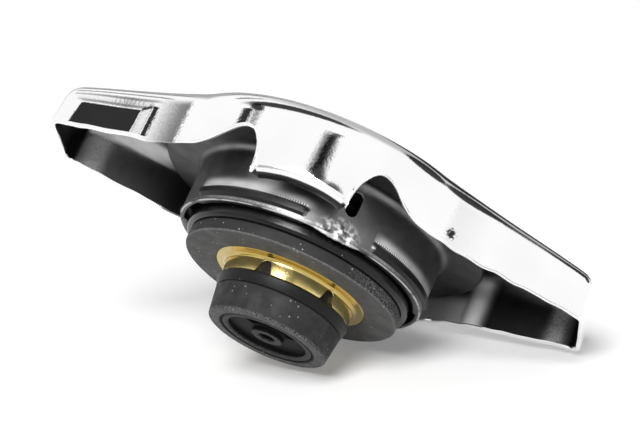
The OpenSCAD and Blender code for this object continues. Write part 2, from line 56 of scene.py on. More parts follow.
# Cover: its box, and what the box doesn't give
COVER_LOW, COVER_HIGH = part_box("outer_cover")
WING_REACH = COVER_HIGH.x
COVER_R = COVER_HIGH.y
COVER_SHEET = 0.9 * MM
CROWN_H = 1 * MM
SHOULDER_R = 4.6 * MM
SKIRT_LEAN = 0.2 * MM
CUT_EDGE_ROUND = 0.3 * MM
TRIM_WAVE = 0.3 * MM
TRIM_LENGTH = 3.5 * MM
TRIM_RINGS = 6
WING_END_W = 15.6 * MM
WING_FLARE = 23 * DEGREE
WING_BLEND_R = 30 * MM
WING_CORNER_R = 2 * MM
WING_SHOULDER_R = 3.2 * MM
WING_FALL = 0.15
WING_FALL_START = 26 * MM
WING_FALL_EASE = 4 * MM
TAB_HALF = 16 * DEGREE
TAB_DROP = 3.1 * MM
TAB_LIFT = 0.5 * MM
TAB_ARCH = 1 * MM
TAB_RUN = 1.8 * DEGREE
TAB_LIP = 3 * MM
TAB_BEND = 1.4 * MM
TAB_SAG = 0.12 * MM
TAB_TURN = 1.4 * DEGREE
SCALLOP_IN = 7.5 * DEGREE
SCALLOP_OUT = 17 * DEGREE
SCALLOP_H = 4 * MM
Z_TAB = COVER_LOW.z
Z_EDGE = Z_TAB + TAB_DROP
Z_SCALLOP = Z_EDGE + SCALLOP_H
Z_CROWN = COVER_HIGH.z - CROWN_H

# Flat panel on a wing's side, with its bevels as shares of the side's length and height
PANEL_RISE = 0.16 * MM
PANEL_END = 0.15
PANEL_ROOT = 0.11
PANEL_TOP = 0.12

# Shares: how far the crown's columns lean to the middle, how a corner tightens over the shoulder, how
# much of a lip's sag its bend has, and where the middle point of a small rounding lies
CROWN_PULL = 0.1
CORNER_SHRINK = 0.8
BEND_SAG = 0.4
NIB = 0.3

# Columns of the cover's loft along a quarter of its outline, from the wing's end to the tab's middle
COVER_STRETCHES = {
    "end": 6, "corner": 10, "side": 56, "blend": 18, "body": 6, "flank": 20, "scallop": 22, "tab": 26,
}
TAB_CROWDING = 1.5
CROWN_RINGS = 10
SHOULDER_RINGS = 10
WALL_RINGS = 9
BEND_RINGS = 8

# Bayonet cup
CUP_LOW, CUP_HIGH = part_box("bayonet_cup")
Z_LIP = CUP_LOW.z
Z_PLATE = CUP_HIGH.z
FLANGE_R = CUP_HIGH.x
CUP_R = 22 * MM
CUP_SHEET = 0.8 * MM
CUP_BEND = 1.6 * MM
CUP_RIM = 0.2 * MM
CUP_COLUMNS = 480
CUP_OUTER_RINGS = 48
CUP_INNER_RINGS = 36
CUP_BEND_RINGS = 8
LOCK_LIP_W = 0.6 * MM
LOCK_LIP_H = 0.7 * MM
LOCK_LIP_RUN = 1.5 * DEGREE
BEAD_PITCH = TURN / 4
BEAD_STARTS = [-53 * DEGREE + BEAD_PITCH * i for i in range(4)]
BEAD_ANGLE = 59 * DEGREE
BEAD_Z = 1.75 * MM
BEAD_PROUD = 0.6 * MM
BEAD_HALF_W = 0.9 * MM
BEAD_FLANK = 0.45 * MM
TEETH_PER_DEGREE = 0.86
SLOT_ANGLES = [22.4 * DEGREE, 202.4 * DEGREE]
SLOT_W = 2 * MM
SLOT_H = 4.3 * MM
SLOT_Z = 6.4 * MM

# Worn place on the cup's lip
WORN_ANGLE = 21 * DEGREE
WORN_SPREAD = 10 * DEGREE
WORN_H = 3.2 * MM
WORN_DEPTH = 0.42 * MM
WORN_BEND = 0.4 * MM
WORN_FADE = 1.6
WORN_BEND_REACH = 1.3
LUMPS_PER_MM = 0.8
CREASES_PER_MM = 1.7
CREASE_SHARE = 0.35

# Valve stack
Z_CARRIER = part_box("seal_carrier")[0].z
SEAL_LOW, SEAL_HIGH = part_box("upper_seal")
Z_SEAL = SEAL_LOW.z
SEAL_R = SEAL_HIGH.x
COLLAR_LOW, COLLAR_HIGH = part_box("brass_retainer")
Z_COLLAR = COLLAR_LOW.z
Z_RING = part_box("valve_boot")[1].z
TUBE_R = 10.9 * MM
PUSH_GAP = 0.03 * MM
SLEEVE_R = TUBE_R + PUSH_GAP
BRASS_T = COLLAR_HIGH.z - Z_SEAL
NOTCH_COUNT = 6
NOTCH_ANGLE = -14 * DEGREE
NOTCH_H = 2.35 * MM
NOTCH_W = 3.3 * MM
NOTCH_TOP_W = 1.3 * MM
NOTCH_CROWN = 0.18
NOTCH_FLARE = 1.3
NOTCH_MARGIN = 1.15
NOTCH_COLUMNS = 64
TONGUE_COLUMNS = 24
COLLAR_RINGS = 6
COLLAR_ROOT = 0.7 * MM
COLLAR_EDGE = 0.12 * MM

# Meshes
SHARP_EDGE = 35 * DEGREE
TURNED_STEPS = 240
SAME_POINT = 0.002 * MM
NO_LENGTH = 0.001 * MM


# Small helpers

def mix(a, b, share):
    return a + (b - a) * share


def held(share):
    """A share kept between 0 and 1."""
    return min(1.0, max(0.0, share))


def ease(share):
    share = held(share)
    return share * share * (3 - 2 * share)


def turn_from(start, angle):
    """Signed turn from one angle to another, of half a turn at most."""
    return (angle - start + math.pi) % TURN - math.pi


def towards(angle):
    """Flat unit vector at an angle from the X axis."""
    return Vector((math.cos(angle), math.sin(angle)))


def round_axis(angle, radius, z):
    """Point at an angle from the front, a radius and a height."""
    return Vector((radius * math.sin(angle), -radius * math.cos(angle), z))


def facing_turn(direction, axis="Z"):
    """Matrix that turns an axis to a direction."""
    return direction.to_track_quat(axis, "Y").to_matrix().to_4x4()


def rounded(corners, steps=5):
    """Closed outline from (radius, height, rounding) corners, with each rounding as an arc."""
    points = []
    for i, (r, z, rounding) in enumerate(corners):
        corner = Vector((r, z))
        back = (Vector(corners[i - 1][:2]) - corner).normalized()
        ahead = (Vector(corners[(i + 1) % len(corners)][:2]) - corner).normalized()
        if rounding == 0:
            points.append(corner)
            continue
        half = back.angle(ahead) / 2
        centre = corner + (back + ahead).normalized() * rounding / math.sin(half)
        start = corner + back * rounding / math.tan(half) - centre
        end = corner + ahead * rounding / math.tan(half) - centre
        first = math.atan2(start.y, start.x)
        turn = turn_from(first, math.atan2(end.y, end.x))
        points += [centre + rounding * towards(first + turn * k / steps) for k in range(steps + 1)]
    return points


# Making pieces

def new_object(name, data):
    made = bpy.data.objects.new(name, data)
    bpy.context.scene.collection.objects.link(made)
    return made


def new_piece(name, bm):
    """Object at the origin from a bmesh, smooth but for its sharp edges."""
    bmesh.ops.recalc_face_normals(bm, faces=bm.faces)
    mesh = bpy.data.meshes.new(name)
    bm.to_mesh(mesh)
    bm.free()
    mesh.shade_smooth()
    mesh.set_sharp_from_angle(angle=SHARP_EDGE)
    return new_object(name, mesh)


def lofted(rings, finish=None):
    """Bmesh of a loop of columns, extruded from ring to ring; finish gives a ring's material."""
    bm = bmesh.new()
    column = bm.verts.layers.int.new("column")
    loop = [bm.verts.new(point) for point in rings[0]]
    for i, vert in enumerate(loop):
        vert[column] = i
    edges = [bm.edges.new(pair) for pair in zip(loop, loop[1:] + loop[:1])]
    for k, ring in enumerate(rings[1:]):
        made = bmesh.ops.extrude_edge_only(bm, edges=edges)["geom"]
        edges = [g for g in made if isinstance(g, bmesh.types.BMEdge)]
        for g in made:
            if isinstance(g, bmesh.types.BMVert):
                g.co = ring[g[column]]
            elif isinstance(g, bmesh.types.BMFace) and finish:
                g.material_index = finish(k)
    bmesh.ops.remove_doubles(bm, verts=bm.verts, dist=SAME_POINT)
    bmesh.ops.dissolve_degenerate(bm, edges=bm.edges, dist=NO_LENGTH)
    return bm


def swept(angles, section_at):
    """Bmesh of closed (radius, height) sections, one at each angle from the front."""
    columns = []
    for angle in angles:
        section = section_at(angle)
        columns.append([round_axis(angle, r, z) for r, z in section + section[:1]])
    return lofted(list(zip(*columns)))


def turned(outline):
    """Bmesh of a closed outline of (radius, height) points, spun about the cap's axis."""
    bm = bmesh.new()
    ring = [bm.verts.new((r, 0, z)) for r, z in outline]
    pairs = [pair for pair in zip(ring, ring[1:] + ring[:1]) if pair[0].co.x + pair[1].co.x > 0]
    edges = [bm.edges.new(pair) for pair in pairs]
    bmesh.ops.spin(
        bm, geom=ring + edges, cent=(0, 0, 0), axis=(0, 0, 1), angle=TURN, steps=TURNED_STEPS,
        use_merge=True)
    bmesh.ops.remove_doubles(bm, verts=bm.verts, dist=SAME_POINT)
    return bm


def close_ends(bm):
    bmesh.ops.holes_fill(bm, edges=[e for e in bm.edges if e.is_boundary], sides=0)


def cut(piece, cutter):
    """Takes a cutter, given as a bmesh, out of a piece."""
    tool = new_piece("cutter", cutter)
    modifier = piece.modifiers.new("cut", "BOOLEAN")
    modifier.operation = "DIFFERENCE"
    modifier.solver = "EXACT"
    modifier.object = tool
    depsgraph = bpy.context.evaluated_depsgraph_get()
    mesh = bpy.data.meshes.new_from_object(piece.evaluated_get(depsgraph))
    piece.modifiers.clear()
    piece.data = mesh
    bpy.data.objects.remove(tool)


def stand_for(piece, node, body, slot, *materials):
    """Puts a piece in a node's place, on its body, with its finish; its slot is not used."""
    for material in materials:
        piece.data.materials.append(material)
    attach(piece, body)
    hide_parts(node)


# Cover

SIDE_TURN = math.pi / 2 - WING_FLARE
SIDE_OUT = towards(SIDE_TURN)
SIDE_DISTANCE = SIDE_OUT.dot(Vector((WING_REACH, WING_END_W / 2)))
BLEND_TURN = SIDE_TURN - math.acos((SIDE_DISTANCE + WING_BLEND_R) / (COVER_R + WING_BLEND_R))
BLEND_CENTRE = (COVER_R + WING_BLEND_R) * towards(BLEND_TURN)
SCALLOP_AT = TAB_HALF + SCALLOP_IN
SCALLOP_END = SCALLOP_AT + SCALLOP_OUT
CROWN_TILT = math.atan(2 * CROWN_H / (COVER_R - SHOULDER_R))


def front_angle(stretch, share):
    """Angle from the middle of the tab, on the round body."""
    if stretch == "body":
        return mix(math.pi / 2 - BLEND_TURN, SCALLOP_END, share)
    if stretch == "flank":
        return mix(SCALLOP_END, SCALLOP_AT, share)
    if stretch == "scallop":
        return SCALLOP_AT - SCALLOP_IN * math.sin(math.pi / 2 * share)
    return TAB_HALF * (1 - share ** TAB_CROWDING)


def cover_outline(stretch, share, inset, corner_r):
    """Place on a quarter of the cover's outline, drawn in by an inset."""
    corner_x = WING_REACH - inset - corner_r
    corner_y = (SIDE_DISTANCE - inset - corner_r - corner_x * SIDE_OUT.x) / SIDE_OUT.y
    corner = Vector((corner_x, corner_y))
    if stretch == "end":
        return Vector((WING_REACH - inset, corner_y * share))
    if stretch == "corner":
        return corner + corner_r * towards(SIDE_TURN * share)
    if stretch == "side":
        return mix(corner + corner_r * SIDE_OUT, BLEND_CENTRE - (WING_BLEND_R + inset) * SIDE_OUT, share)
    if stretch == "blend":
        return BLEND_CENTRE - (WING_BLEND_R + inset) * towards(mix(SIDE_TURN, BLEND_TURN, share))
    return (COVER_R - inset) * towards(math.pi / 2 - front_angle(stretch, share))


def lip_share(stretch, share):
    """How far the tab's lip is turned in."""
    return ease((TAB_HALF - front_angle(stretch, share)) / TAB_RUN) if stretch == "tab" else 0.0


def edge_height(stretch, share):
    """Height of the skirt's lower edge."""
    if stretch == "flank":
        return Z_EDGE + SCALLOP_H * (1 - math.cos(math.pi * share)) / 2
    middle = Z_TAB + TAB_LIFT
    if stretch == "scallop":
        return mix(middle - TAB_ARCH, Z_SCALLOP, math.cos(math.pi / 2 * share))
    if stretch == "tab":
        return middle - TAB_ARCH * (front_angle(stretch, share) / TAB_HALF) ** 2
    return Z_EDGE


def top_height(x):
    """Height of the cover's top, which falls along the wings."""
    beyond = abs(x) - WING_FALL_START
    return Z_CROWN - WING_FALL * (beyond + math.hypot(beyond, WING_FALL_EASE)) / 2


def shoulder_radius(x):
    return mix(SHOULDER_R, WING_SHOULDER_R, ease((abs(x) - COVER_R) / (WING_REACH - COVER_R)))


def plain_wall(low, high, depth):
    """Insets and heights down a straight wall, for the skin that lies a depth inside the outer one."""
    rings = WALL_RINGS + BEND_RINGS + 1
    return [(depth, mix(high, low + CUT_EDGE_ROUND, k / rings)) for k in range(rings + 1)]


def hooked_wall(low, high, depth):
    """The same for a wall whose foot is bent in as a lip."""
    bend = TAB_BEND - depth
    points = [(depth, mix(high, low + TAB_BEND, k / WALL_RINGS)) for k in range(WALL_RINGS + 1)]
    for k in range(1, BEND_RINGS + 1):
        a = math.pi / 2 * (1 - k / BEND_RINGS)
        sag = BEND_SAG * TAB_SAG * (k / BEND_RINGS) ** 2
        points.append((TAB_BEND - bend * math.sin(a), low + TAB_BEND - bend * math.cos(a) - sag))
    return points + [(TAB_LIP - CUT_EDGE_ROUND, low + depth - TAB_SAG)]


def cut_edge(low, hooked):
    """Insets and heights round the sheet's cut edge, from the outer skin to the inner one."""
    nib = NIB * CUT_EDGE_ROUND
    if hooked:
        low -= TAB_SAG
        return [
            (TAB_LIP - nib, low + nib),
            (TAB_LIP, low + CUT_EDGE_ROUND),
            (TAB_LIP, low + COVER_SHEET - CUT_EDGE_ROUND),
            (TAB_LIP - nib, low + COVER_SHEET - nib),
        ]
    return [
        (nib, low + nib),
        (CUT_EDGE_ROUND, low),
        (COVER_SHEET - CUT_EDGE_ROUND, low),
        (COVER_SHEET - nib, low + nib),
    ]


def side_panel(share, up):
    """How far the flat panel of a wing's side stands out, with its bevels to the end, root and top."""
    return min(1.0, share / PANEL_END, (1 - share) / PANEL_ROOT, (1 - up) / PANEL_TOP)


def cover_column(stretch, share):
    """One column of the cover, from the outer crown down, round the cut edge and up inside."""
    low = edge_height(stretch, share)
    foot = cover_outline(stretch, share, 0, WING_CORNER_R)
    round_r = shoulder_radius(foot.x)
    high = top_height(foot.x) - round_r
    hook = lip_share(stretch, share)

    def shoulder(turn, depth):
        r = round_r - depth
        step_in = r * (1 - math.cos(turn))
        corner_r = round_r - CORNER_SHRINK * step_in
        p = cover_outline(stretch, share, SKIRT_LEAN + depth + step_in, corner_r)
        return Vector((p.x, p.y, top_height(p.x) - round_r + r * math.sin(turn)))

    def skin(depth):
        """Crown and shoulder from the middle outwards."""
        rim = shoulder(math.pi / 2 - CROWN_TILT, depth)
        sink = top_height(rim.x) - rim.z
        rise = CROWN_H * rim.y / (COVER_R - SHOULDER_R)
        points = []
        for k in range(CROWN_RINGS):
            s = math.cos(math.pi / 2 * k / CROWN_RINGS)
            x = rim.x * (1 - CROWN_PULL * s)
            points.append(Vector((x, rim.y * (1 - s), top_height(x) - sink + rise * (1 - (1 - s) ** 2))))
        turns = [(math.pi / 2 - CROWN_TILT) * (1 - k / SHOULDER_RINGS) for k in range(SHOULDER_RINGS)]
        return points + [shoulder(turn, depth) for turn in turns]

    def wall(points, hooked_points, rise):
        placed = []
        for plain, hooked in zip(points, hooked_points):
            inset = mix(plain[0], hooked[0], hook)
            z = mix(plain[1], hooked[1], hook)
            up = held((z - Z_EDGE) / (high - Z_EDGE))
            if stretch == "side":
                inset -= rise * side_panel(share, up)
            p = cover_outline(stretch, share, inset + SKIRT_LEAN * up, mix(WING_CORNER_R, round_r, up))
            placed.append(Vector((p.x, p.y, z)))
        return placed

    outer = wall(plain_wall(low, high, 0), hooked_wall(low, high, 0), PANEL_RISE)
    edge = wall(cut_edge(low, False), cut_edge(low, True), PANEL_RISE)
    inner = wall(plain_wall(low, high, COVER_SHEET), hooked_wall(low, high, COVER_SHEET), 0)
    outside = skin(0) + outer
    inside = skin(COVER_SHEET) + inner
    return outside, edge, inside[::-1]


def tab_turn(stretch, share):
    """How far the tab and its scallops are turned from the wings' middle."""
    if stretch in ("scallop", "tab"):
        return TAB_TURN
    return TAB_TURN * ease(share) if stretch == "flank" else 0.0


def trimmed(points, first, last):
    """A column with its cut edge, which lies between two places, moved as an uneven trim moves it."""
    foot = points[first]
    wave = TRIM_WAVE * noise.noise(Vector((foot.x, foot.y, 0)) / TRIM_LENGTH)
    moved = []
    for i, point in enumerate(points):
        away = max(first - i, i + 1 - last, 0)
        moved.append(point + Vector((0, 0, wave * max(0.0, 1 - away / TRIM_RINGS))))
    return moved


def make_cover():
    """The pressing, with bright plating outside and dull metal inside."""
    stations = [(name, k / n) for name, n in COVER_STRETCHES.items() for k in range(n)] + [("tab", 1.0)]
    last = len(stations) - 1
    quarter = [cover_column(*station) for station in stations]
    columns = []
    for j in range(4 * last):
        q = j % (2 * last)
        q = q if q <= last else 2 * last - q
        outside, edge, inside = quarter[q]
        sign = Vector((-1 if last < j < 3 * last else 1, -1 if j > 2 * last else 1, 1))
        turn = Matrix.Rotation(tab_turn(*stations[q]), 3, "Z")
        points = [turn @ (point * sign) for point in outside + edge + inside]
        columns.append(trimmed(points, len(outside), len(outside) + len(edge)))

    inside_from = len(outside) + len(edge)
    return new_piece("cover_pressing", lofted(list(zip(*columns)), lambda ring: int(ring >= inside_from)))


# Bayonet cup

def past_bead(angle):
    """Angle past the end of the nearest bead, less than 0 on a bead."""
    middles = [start + BEAD_ANGLE / 2 for start in BEAD_STARTS]
    return min(abs(turn_from(middle, angle)) for middle in middles) - BEAD_ANGLE / 2


def bead_height(angle, z):
    """How far the wall is pressed out at an angle and a height above the lip."""
    beyond = max(0.0, past_bead(angle) * CUP_R + BEAD_HALF_W)
    distance = math.hypot(beyond, z - BEAD_Z)
    return BEAD_PROUD * ease((BEAD_HALF_W - distance) / BEAD_FLANK)


def lock_lip(angle):
    """How much of the locking lip stands at an angle."""
    return ease(0.5 - past_bead(angle) / LOCK_LIP_RUN)


def worn_dent(angle, z):
    """Crumpled metal beside the first bead, where the cap has been prised."""
    offset = turn_from(WORN_ANGLE, angle)
    share = ease(WORN_FADE * (1 - math.hypot(offset / WORN_SPREAD, z / WORN_H)))
    spot = Vector((offset * CUP_R, z, 0)) / MM
    lumps = noise.noise(spot * LUMPS_PER_MM) + CREASE_SHARE * noise.noise(spot * CREASES_PER_MM)
    return share * WORN_DEPTH * lumps


def bent_lip(angle, z):
    """How far the lip is bent down beside the worn metal."""
    offset = abs(turn_from(WORN_ANGLE, angle))
    return WORN_BEND * ease(WORN_BEND_REACH - offset / WORN_SPREAD) * ease(1 - z / WORN_H)


def cup_section(angle):
    """Closed section of the cup's sheet at an angle from the front."""
    bend_z = Z_PLATE - CUP_SHEET - CUP_BEND
    wall = bend_z - Z_LIP

    def side(radius, rings, lip_w):
        points = []
        for k in range(rings + 1):
            z = mix(CUP_RIM, wall, k / rings)
            lip = lip_w * lock_lip(angle) * ease((LOCK_LIP_H + CUP_RIM - z) / CUP_RIM)
            shift = bead_height(angle, z) + worn_dent(angle, z) - lip
            points.append((radius + shift, Z_LIP + z - bent_lip(angle, z)))
        return points

    outer = side(CUP_R, CUP_OUTER_RINGS, 0)
    inner = side(CUP_R - CUP_SHEET, CUP_INNER_RINGS, LOCK_LIP_W)
    bends = [math.pi - math.pi / 2 * k / CUP_BEND_RINGS for k in range(1, CUP_BEND_RINGS + 1)]
    centre = Vector((CUP_R + CUP_BEND, bend_z))
    under = [centre + CUP_BEND * towards(a) for a in bends]
    over = [centre + (CUP_BEND + CUP_SHEET) * towards(a) for a in bends]
    flange = [
        (FLANGE_R - CUP_RIM, Z_PLATE - CUP_SHEET),
        (FLANGE_R, Z_PLATE - CUP_SHEET + CUP_RIM),
        (FLANGE_R, Z_PLATE - CUP_RIM),
        (FLANGE_R - CUP_RIM, Z_PLATE),
    ]
    low = Z_LIP - bent_lip(angle, 0)
    nib = NIB * CUP_RIM
    foot = [
        (inner[0][0] + nib, low + nib),
        (inner[0][0] + CUP_RIM, low),
        (outer[0][0] - CUP_RIM, low),
        (outer[0][0] - nib, low + nib),
    ]
    return outer + under + flange + over[::-1] + inner[::-1] + foot


def make_cup():
    angles = [TURN * i / CUP_COLUMNS for i in range(CUP_COLUMNS)]
    cup = new_piece("bayonet_ring", swept(angles, cup_section))
    for angle in SLOT_ANGLES:
        cut(cup, oval_bar(angle))
    return cup


def oval_bar(angle):
    """Bar with an oval section that reaches through the wall."""
    bm = bmesh.new()
    half = (SLOT_H - SLOT_W) / 2
    circle = bmesh.ops.create_circle(bm, cap_ends=True, radius=SLOT_W / 2, segments=48)["verts"]
    for vert in circle:
        vert.co.y += half if vert.co.y > 0 else -half
    made = bmesh.ops.extrude_face_region(bm, geom=bm.faces[:])["geom"]
    far_end = [g for g in made if isinstance(g, bmesh.types.BMVert)]
    reach = 4 * MM
    bmesh.ops.translate(bm, verts=far_end, vec=(0, 0, reach))
    upright = Matrix.Rotation(math.pi / 2, 4, "X")
    outwards = Matrix.Rotation(angle + math.pi, 4, "Z")
    place = Matrix.Translation(round_axis(angle, CUP_R + reach / 2, Z_LIP + SLOT_Z))
    bmesh.ops.transform(bm, verts=bm.verts, matrix=place @ outwards @ upright)
    return bm


# Valve stack

def make_carrier():
    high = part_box("seal_carrier")[1]
    r, z_top = high.x, high.z
    rim_w, plate_t, edge, inner_edge = 1.1 * MM, 1.2 * MM, 0.77 * MM, 0.2 * MM
    return new_piece("carrier_band", turned(rounded([
        (SLEEVE_R, Z_CARRIER, 0),
        (r, Z_CARRIER, edge),
        (r, z_top, edge),
        (r - rim_w, z_top, inner_edge),
        (r - rim_w, Z_CARRIER + plate_t, inner_edge),
        (SLEEVE_R, Z_CARRIER + plate_t, 0),
    ], steps=8)))


def make_seal():
    bore = COLLAR_HIGH.x + PUSH_GAP
    return new_piece("seal_disc", turned(rounded([
        (bore, Z_SEAL, 0.1 * MM),
        (SEAL_R, Z_SEAL, 0.3 * MM),
        (SEAL_R, Z_CARRIER, 0.25 * MM),
        (SLEEVE_R, Z_CARRIER, 0),
        (SLEEVE_R, Z_SEAL + BRASS_T, 0),
        (bore, Z_SEAL + BRASS_T, 0),
    ])))


def notch_rise(angle):
    """Height of the collar's lower edge above its tongues' ends."""
    pitch = TURN / NOTCH_COUNT
    offset = abs((angle - NOTCH_ANGLE + pitch / 2) % pitch - pitch / 2) * TUBE_R
    inner, outer = NOTCH_TOP_W / 2, NOTCH_W / 2
    if offset < inner:
        return NOTCH_H * (1 - NOTCH_CROWN * (offset / inner) ** 2)
    return NOTCH_H * (1 - NOTCH_CROWN) * ease((outer - offset) / (outer - inner)) ** NOTCH_FLARE


def collar_angles():
    """Angles of the collar's columns, close together beside the notches."""
    pitch = TURN / NOTCH_COUNT
    near = NOTCH_MARGIN * NOTCH_W / 2 / TUBE_R
    notch = [mix(-near, near, k / NOTCH_COLUMNS) for k in range(NOTCH_COLUMNS)]
    tongue = [mix(near, pitch - near, k / TONGUE_COLUMNS) for k in range(TONGUE_COLUMNS)]
    return [NOTCH_ANGLE + i * pitch + a for i in range(NOTCH_COUNT) for a in notch + tongue]


def collar_section(angle):
    """Closed section of the brass at an angle: wall, root and flange."""
    flange_r = COLLAR_HIGH.x
    wall_r = SLEEVE_R + BRASS_T
    top = Z_SEAL + BRASS_T
    low = Z_COLLAR + notch_rise(angle)
    least = low + 2 * COLLAR_EDGE
    steps = [k / COLLAR_RINGS for k in range(COLLAR_RINGS + 1)]
    section = [(SLEEVE_R, mix(top, low + COLLAR_EDGE, s)) for s in steps]
    section += [(SLEEVE_R + COLLAR_EDGE, low), (wall_r - COLLAR_EDGE, low)]
    section += [(wall_r, mix(low + COLLAR_EDGE, max(Z_SEAL - COLLAR_ROOT, least), s)) for s in steps]
    for s in steps[1:]:
        bend = Vector((wall_r, Z_SEAL)) + COLLAR_ROOT * (Vector((1, -1)) + towards(math.pi - math.pi / 2 * s))
        section.append((bend.x, max(bend.y, least)))
    return section + [(flange_r - COLLAR_EDGE, Z_SEAL), (flange_r, Z_SEAL + COLLAR_EDGE), (flange_r, top)]


def make_collar():
    return new_piece("brass_collar", swept(collar_angles(), collar_section))


def make_plug():
    """Plug with its tapered ring, hub, tube, ported web and headed stem."""
    low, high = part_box("valve_body")
    z_hub, z_top, ring_r = low.z, high.z, high.x
    boot_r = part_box("valve_boot")[1].x
    z_snap, z_snapped = [corner.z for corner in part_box("snap_ring")]
    z_stop, z_head = [corner.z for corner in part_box("stem_stop")]
    hub_r, hub_bore, well_r = 8.3 * MM, 6.8 * MM, 8.8 * MM
    stem_r, neck_r, head_r = 3 * MM, 2 * MM, 2.8 * MM
    groove, tube_over, tube_round = 0.5 * MM, 1.2 * MM, 0.2 * MM
    rib_low, rib_high, rib = 2.82 * MM, 3.68 * MM, 0.6 * MM
    tube_top = z_snap + tube_over
    plug = new_piece("plug_body", turned(rounded([
        (0, Z_RING, 0), (hub_bore, Z_RING, 0), (hub_bore, z_hub, 0), (hub_r, z_hub, 0),
        (hub_r, rib_low, 0), (hub_r - rib, rib_low, 0), (hub_r - rib, rib_high, 0), (hub_r, rib_high, 0),
        (hub_r, Z_RING, 0), (boot_r, Z_RING, 0.25 * MM), (ring_r, Z_COLLAR, 0.3 * MM),
        (TUBE_R, Z_COLLAR, 0), (TUBE_R, z_snap, 0),
        (TUBE_R - groove, z_snap, 0), (TUBE_R - groove, z_snapped, 0), (TUBE_R, z_snapped, 0),
        (TUBE_R, tube_top, tube_round), (well_r, tube_top, tube_round), (well_r, Z_COLLAR, 0),
        (stem_r, Z_COLLAR, 0), (stem_r, z_stop, 0), (neck_r, z_stop, 0), (neck_r, z_head, 0),
        (head_r, z_head, 0), (head_r, z_top, tube_round), (0, z_top, 0),
    ])))
    port_r, port_circle_r, port_depth, port_count = 0.7 * MM, 4.4 * MM, 6 * MM, 6
    ports = bmesh.new()
    for i in range(port_count):
        centre = port_circle_r * towards(TURN * i / port_count)
        bmesh.ops.create_cone(
            ports, cap_ends=True, segments=32, radius1=port_r, radius2=port_r, depth=port_depth,
            matrix=Matrix.Translation((centre.x, centre.y, Z_RING)))
    cut(plug, ports)
    return plug


def make_boot():
    r_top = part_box("valve_boot")[1].x
    r_foot, bore, rib = 10.6 * MM, 8.33 * MM, 0.6 * MM
    rib_low, rib_high = 2.85 * MM, 3.65 * MM
    return new_piece("boot_sleeve", turned(rounded([
        (bore, 0, 0.25 * MM), (r_foot, 0, 0.45 * MM), (r_top, Z_RING, 0.3 * MM), (bore, Z_RING, 0),
        (bore, rib_high, 0), (bore - rib, rib_high, 0), (bore - rib, rib_low, 0), (bore, rib_low, 0),
    ])))


def kidney_bar(inner, outer, start, span, reach):
    """Upright bar whose section is bent round the axis, with round ends."""
    steps = 20
    half, middle = (outer - inner) / 2, (outer + inner) / 2
    end = start + span

    def round_end(angle, way):
        ahead = half * Vector((math.cos(angle), math.sin(angle), 0))
        points = []
        for turn in [math.pi * k / steps for k in range(1, steps)]:
            across = round_axis(angle, middle + way * half * math.cos(turn), -reach)
            points.append(across + way * math.sin(turn) * ahead)
        return points

    flat = [round_axis(mix(start, end, k / steps), outer, -reach) for k in range(steps + 1)]
    flat += round_end(end, 1)
    flat += [round_axis(mix(end, start, k / steps), inner, -reach) for k in range(steps + 1)]
    flat += round_end(start, -1)
    bm = lofted([flat, [point + Vector((0, 0, 2 * reach)) for point in flat]])
    close_ends(bm)
    return bm


def make_insert():
    """Foot disc with a recess, a boss round the guide hole, and a kidney slot."""
    low, top = [corner.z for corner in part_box("valve_insert")]
    web_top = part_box("valve_body")[0].z
    r, recess_r, recess = 8.3 * MM, 7 * MM, 0.9 * MM
    boss_r, guide_r, hole_r = 2.8 * MM, 2.6 * MM, 1.5 * MM
    insert = new_piece("foot_insert", turned(rounded([
        (hole_r, low, 0.15 * MM), (boss_r, low, 0.25 * MM), (boss_r, low + recess, 0.15 * MM),
        (recess_r, low + recess, 0.2 * MM), (recess_r, low, 0.3 * MM), (r, low, 0.3 * MM),
        (r, web_top, 0), (guide_r, web_top, 0), (guide_r, top, 0), (hole_r, top, 0),
    ])))
    cut(insert, kidney_bar(
        inner=3.3 * MM, outer=5.5 * MM, start=-37 * DEGREE, span=98 * DEGREE, reach=3 * MM))
    return insert


def make_coil(name, node, big_r, small_r, wire, turns, sides):
    """Helical wire between a node's two heights, with a short flat stretch at each end."""
    low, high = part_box(node)
    z_low, z_high = low.z + wire / 2, high.z - wire / 2
    flat, ring_steps = 0.3, 48
    bm = bmesh.new()
    bmesh.ops.create_circle(
        bm, cap_ends=False, radius=wire / 2, segments=sides,
        matrix=Matrix.Translation((big_r, 0, z_low)) @ Matrix.Rotation(math.pi / 2, 4, "X"))
    geom = bm.verts[:] + bm.edges[:]
    for length, climb in ((flat, 0), (turns - 2 * flat, z_high - z_low), (flat, 0)):
        steps = round(length * ring_steps)
        geom = bmesh.ops.spin(
            bm, geom=geom, cent=(0, 0, 0), axis=(0, 0, 1), angle=TURN * length, steps=steps,
            dvec=(0, 0, climb / steps))["geom_last"]
    for vert in bm.verts:
        share = held((vert.co.z - z_low) / (z_high - z_low))
        out = Vector((vert.co.x, vert.co.y, 0))
        vert.co += out.normalized() * (small_r - big_r) * share
    close_ends(bm)
    return new_piece(name, bm)


# Node helpers, which work in the tree that the linked values belong to

def feed(socket, value):
    """Links a socket to another one, or sets its value."""
    if isinstance(value, bpy.types.NodeSocket):
        socket.id_data.links.new(value, socket)
    else:
        socket.default_value = value


def add(tree, kind, inputs, **settings):
    """Node with settings and inputs, which are values or other nodes' outputs."""
    made = tree.nodes.new(kind)
    for key, value in settings.items():
        setattr(made, key, value)
    for key, value in inputs.items():
        feed(made.inputs[key], value)
    return made


def calc(operation, *values):
    tree = next(value.id_data for value in values if isinstance(value, bpy.types.NodeSocket))
    return add(tree, "ShaderNodeMath", dict(enumerate(values)), operation=operation).outputs[0]


def chain(operation, first, *others):
    """One operation over any number of values."""
    for other in others:
        first = calc(operation, first, other)
    return first


def times(*values):
    return chain("MULTIPLY", *values)


def most(*values):
    return chain("MAXIMUM", *values)


def square_sum(first, second):
    return calc("ADD", calc("POWER", first, 2.0), calc("POWER", second, 2.0))


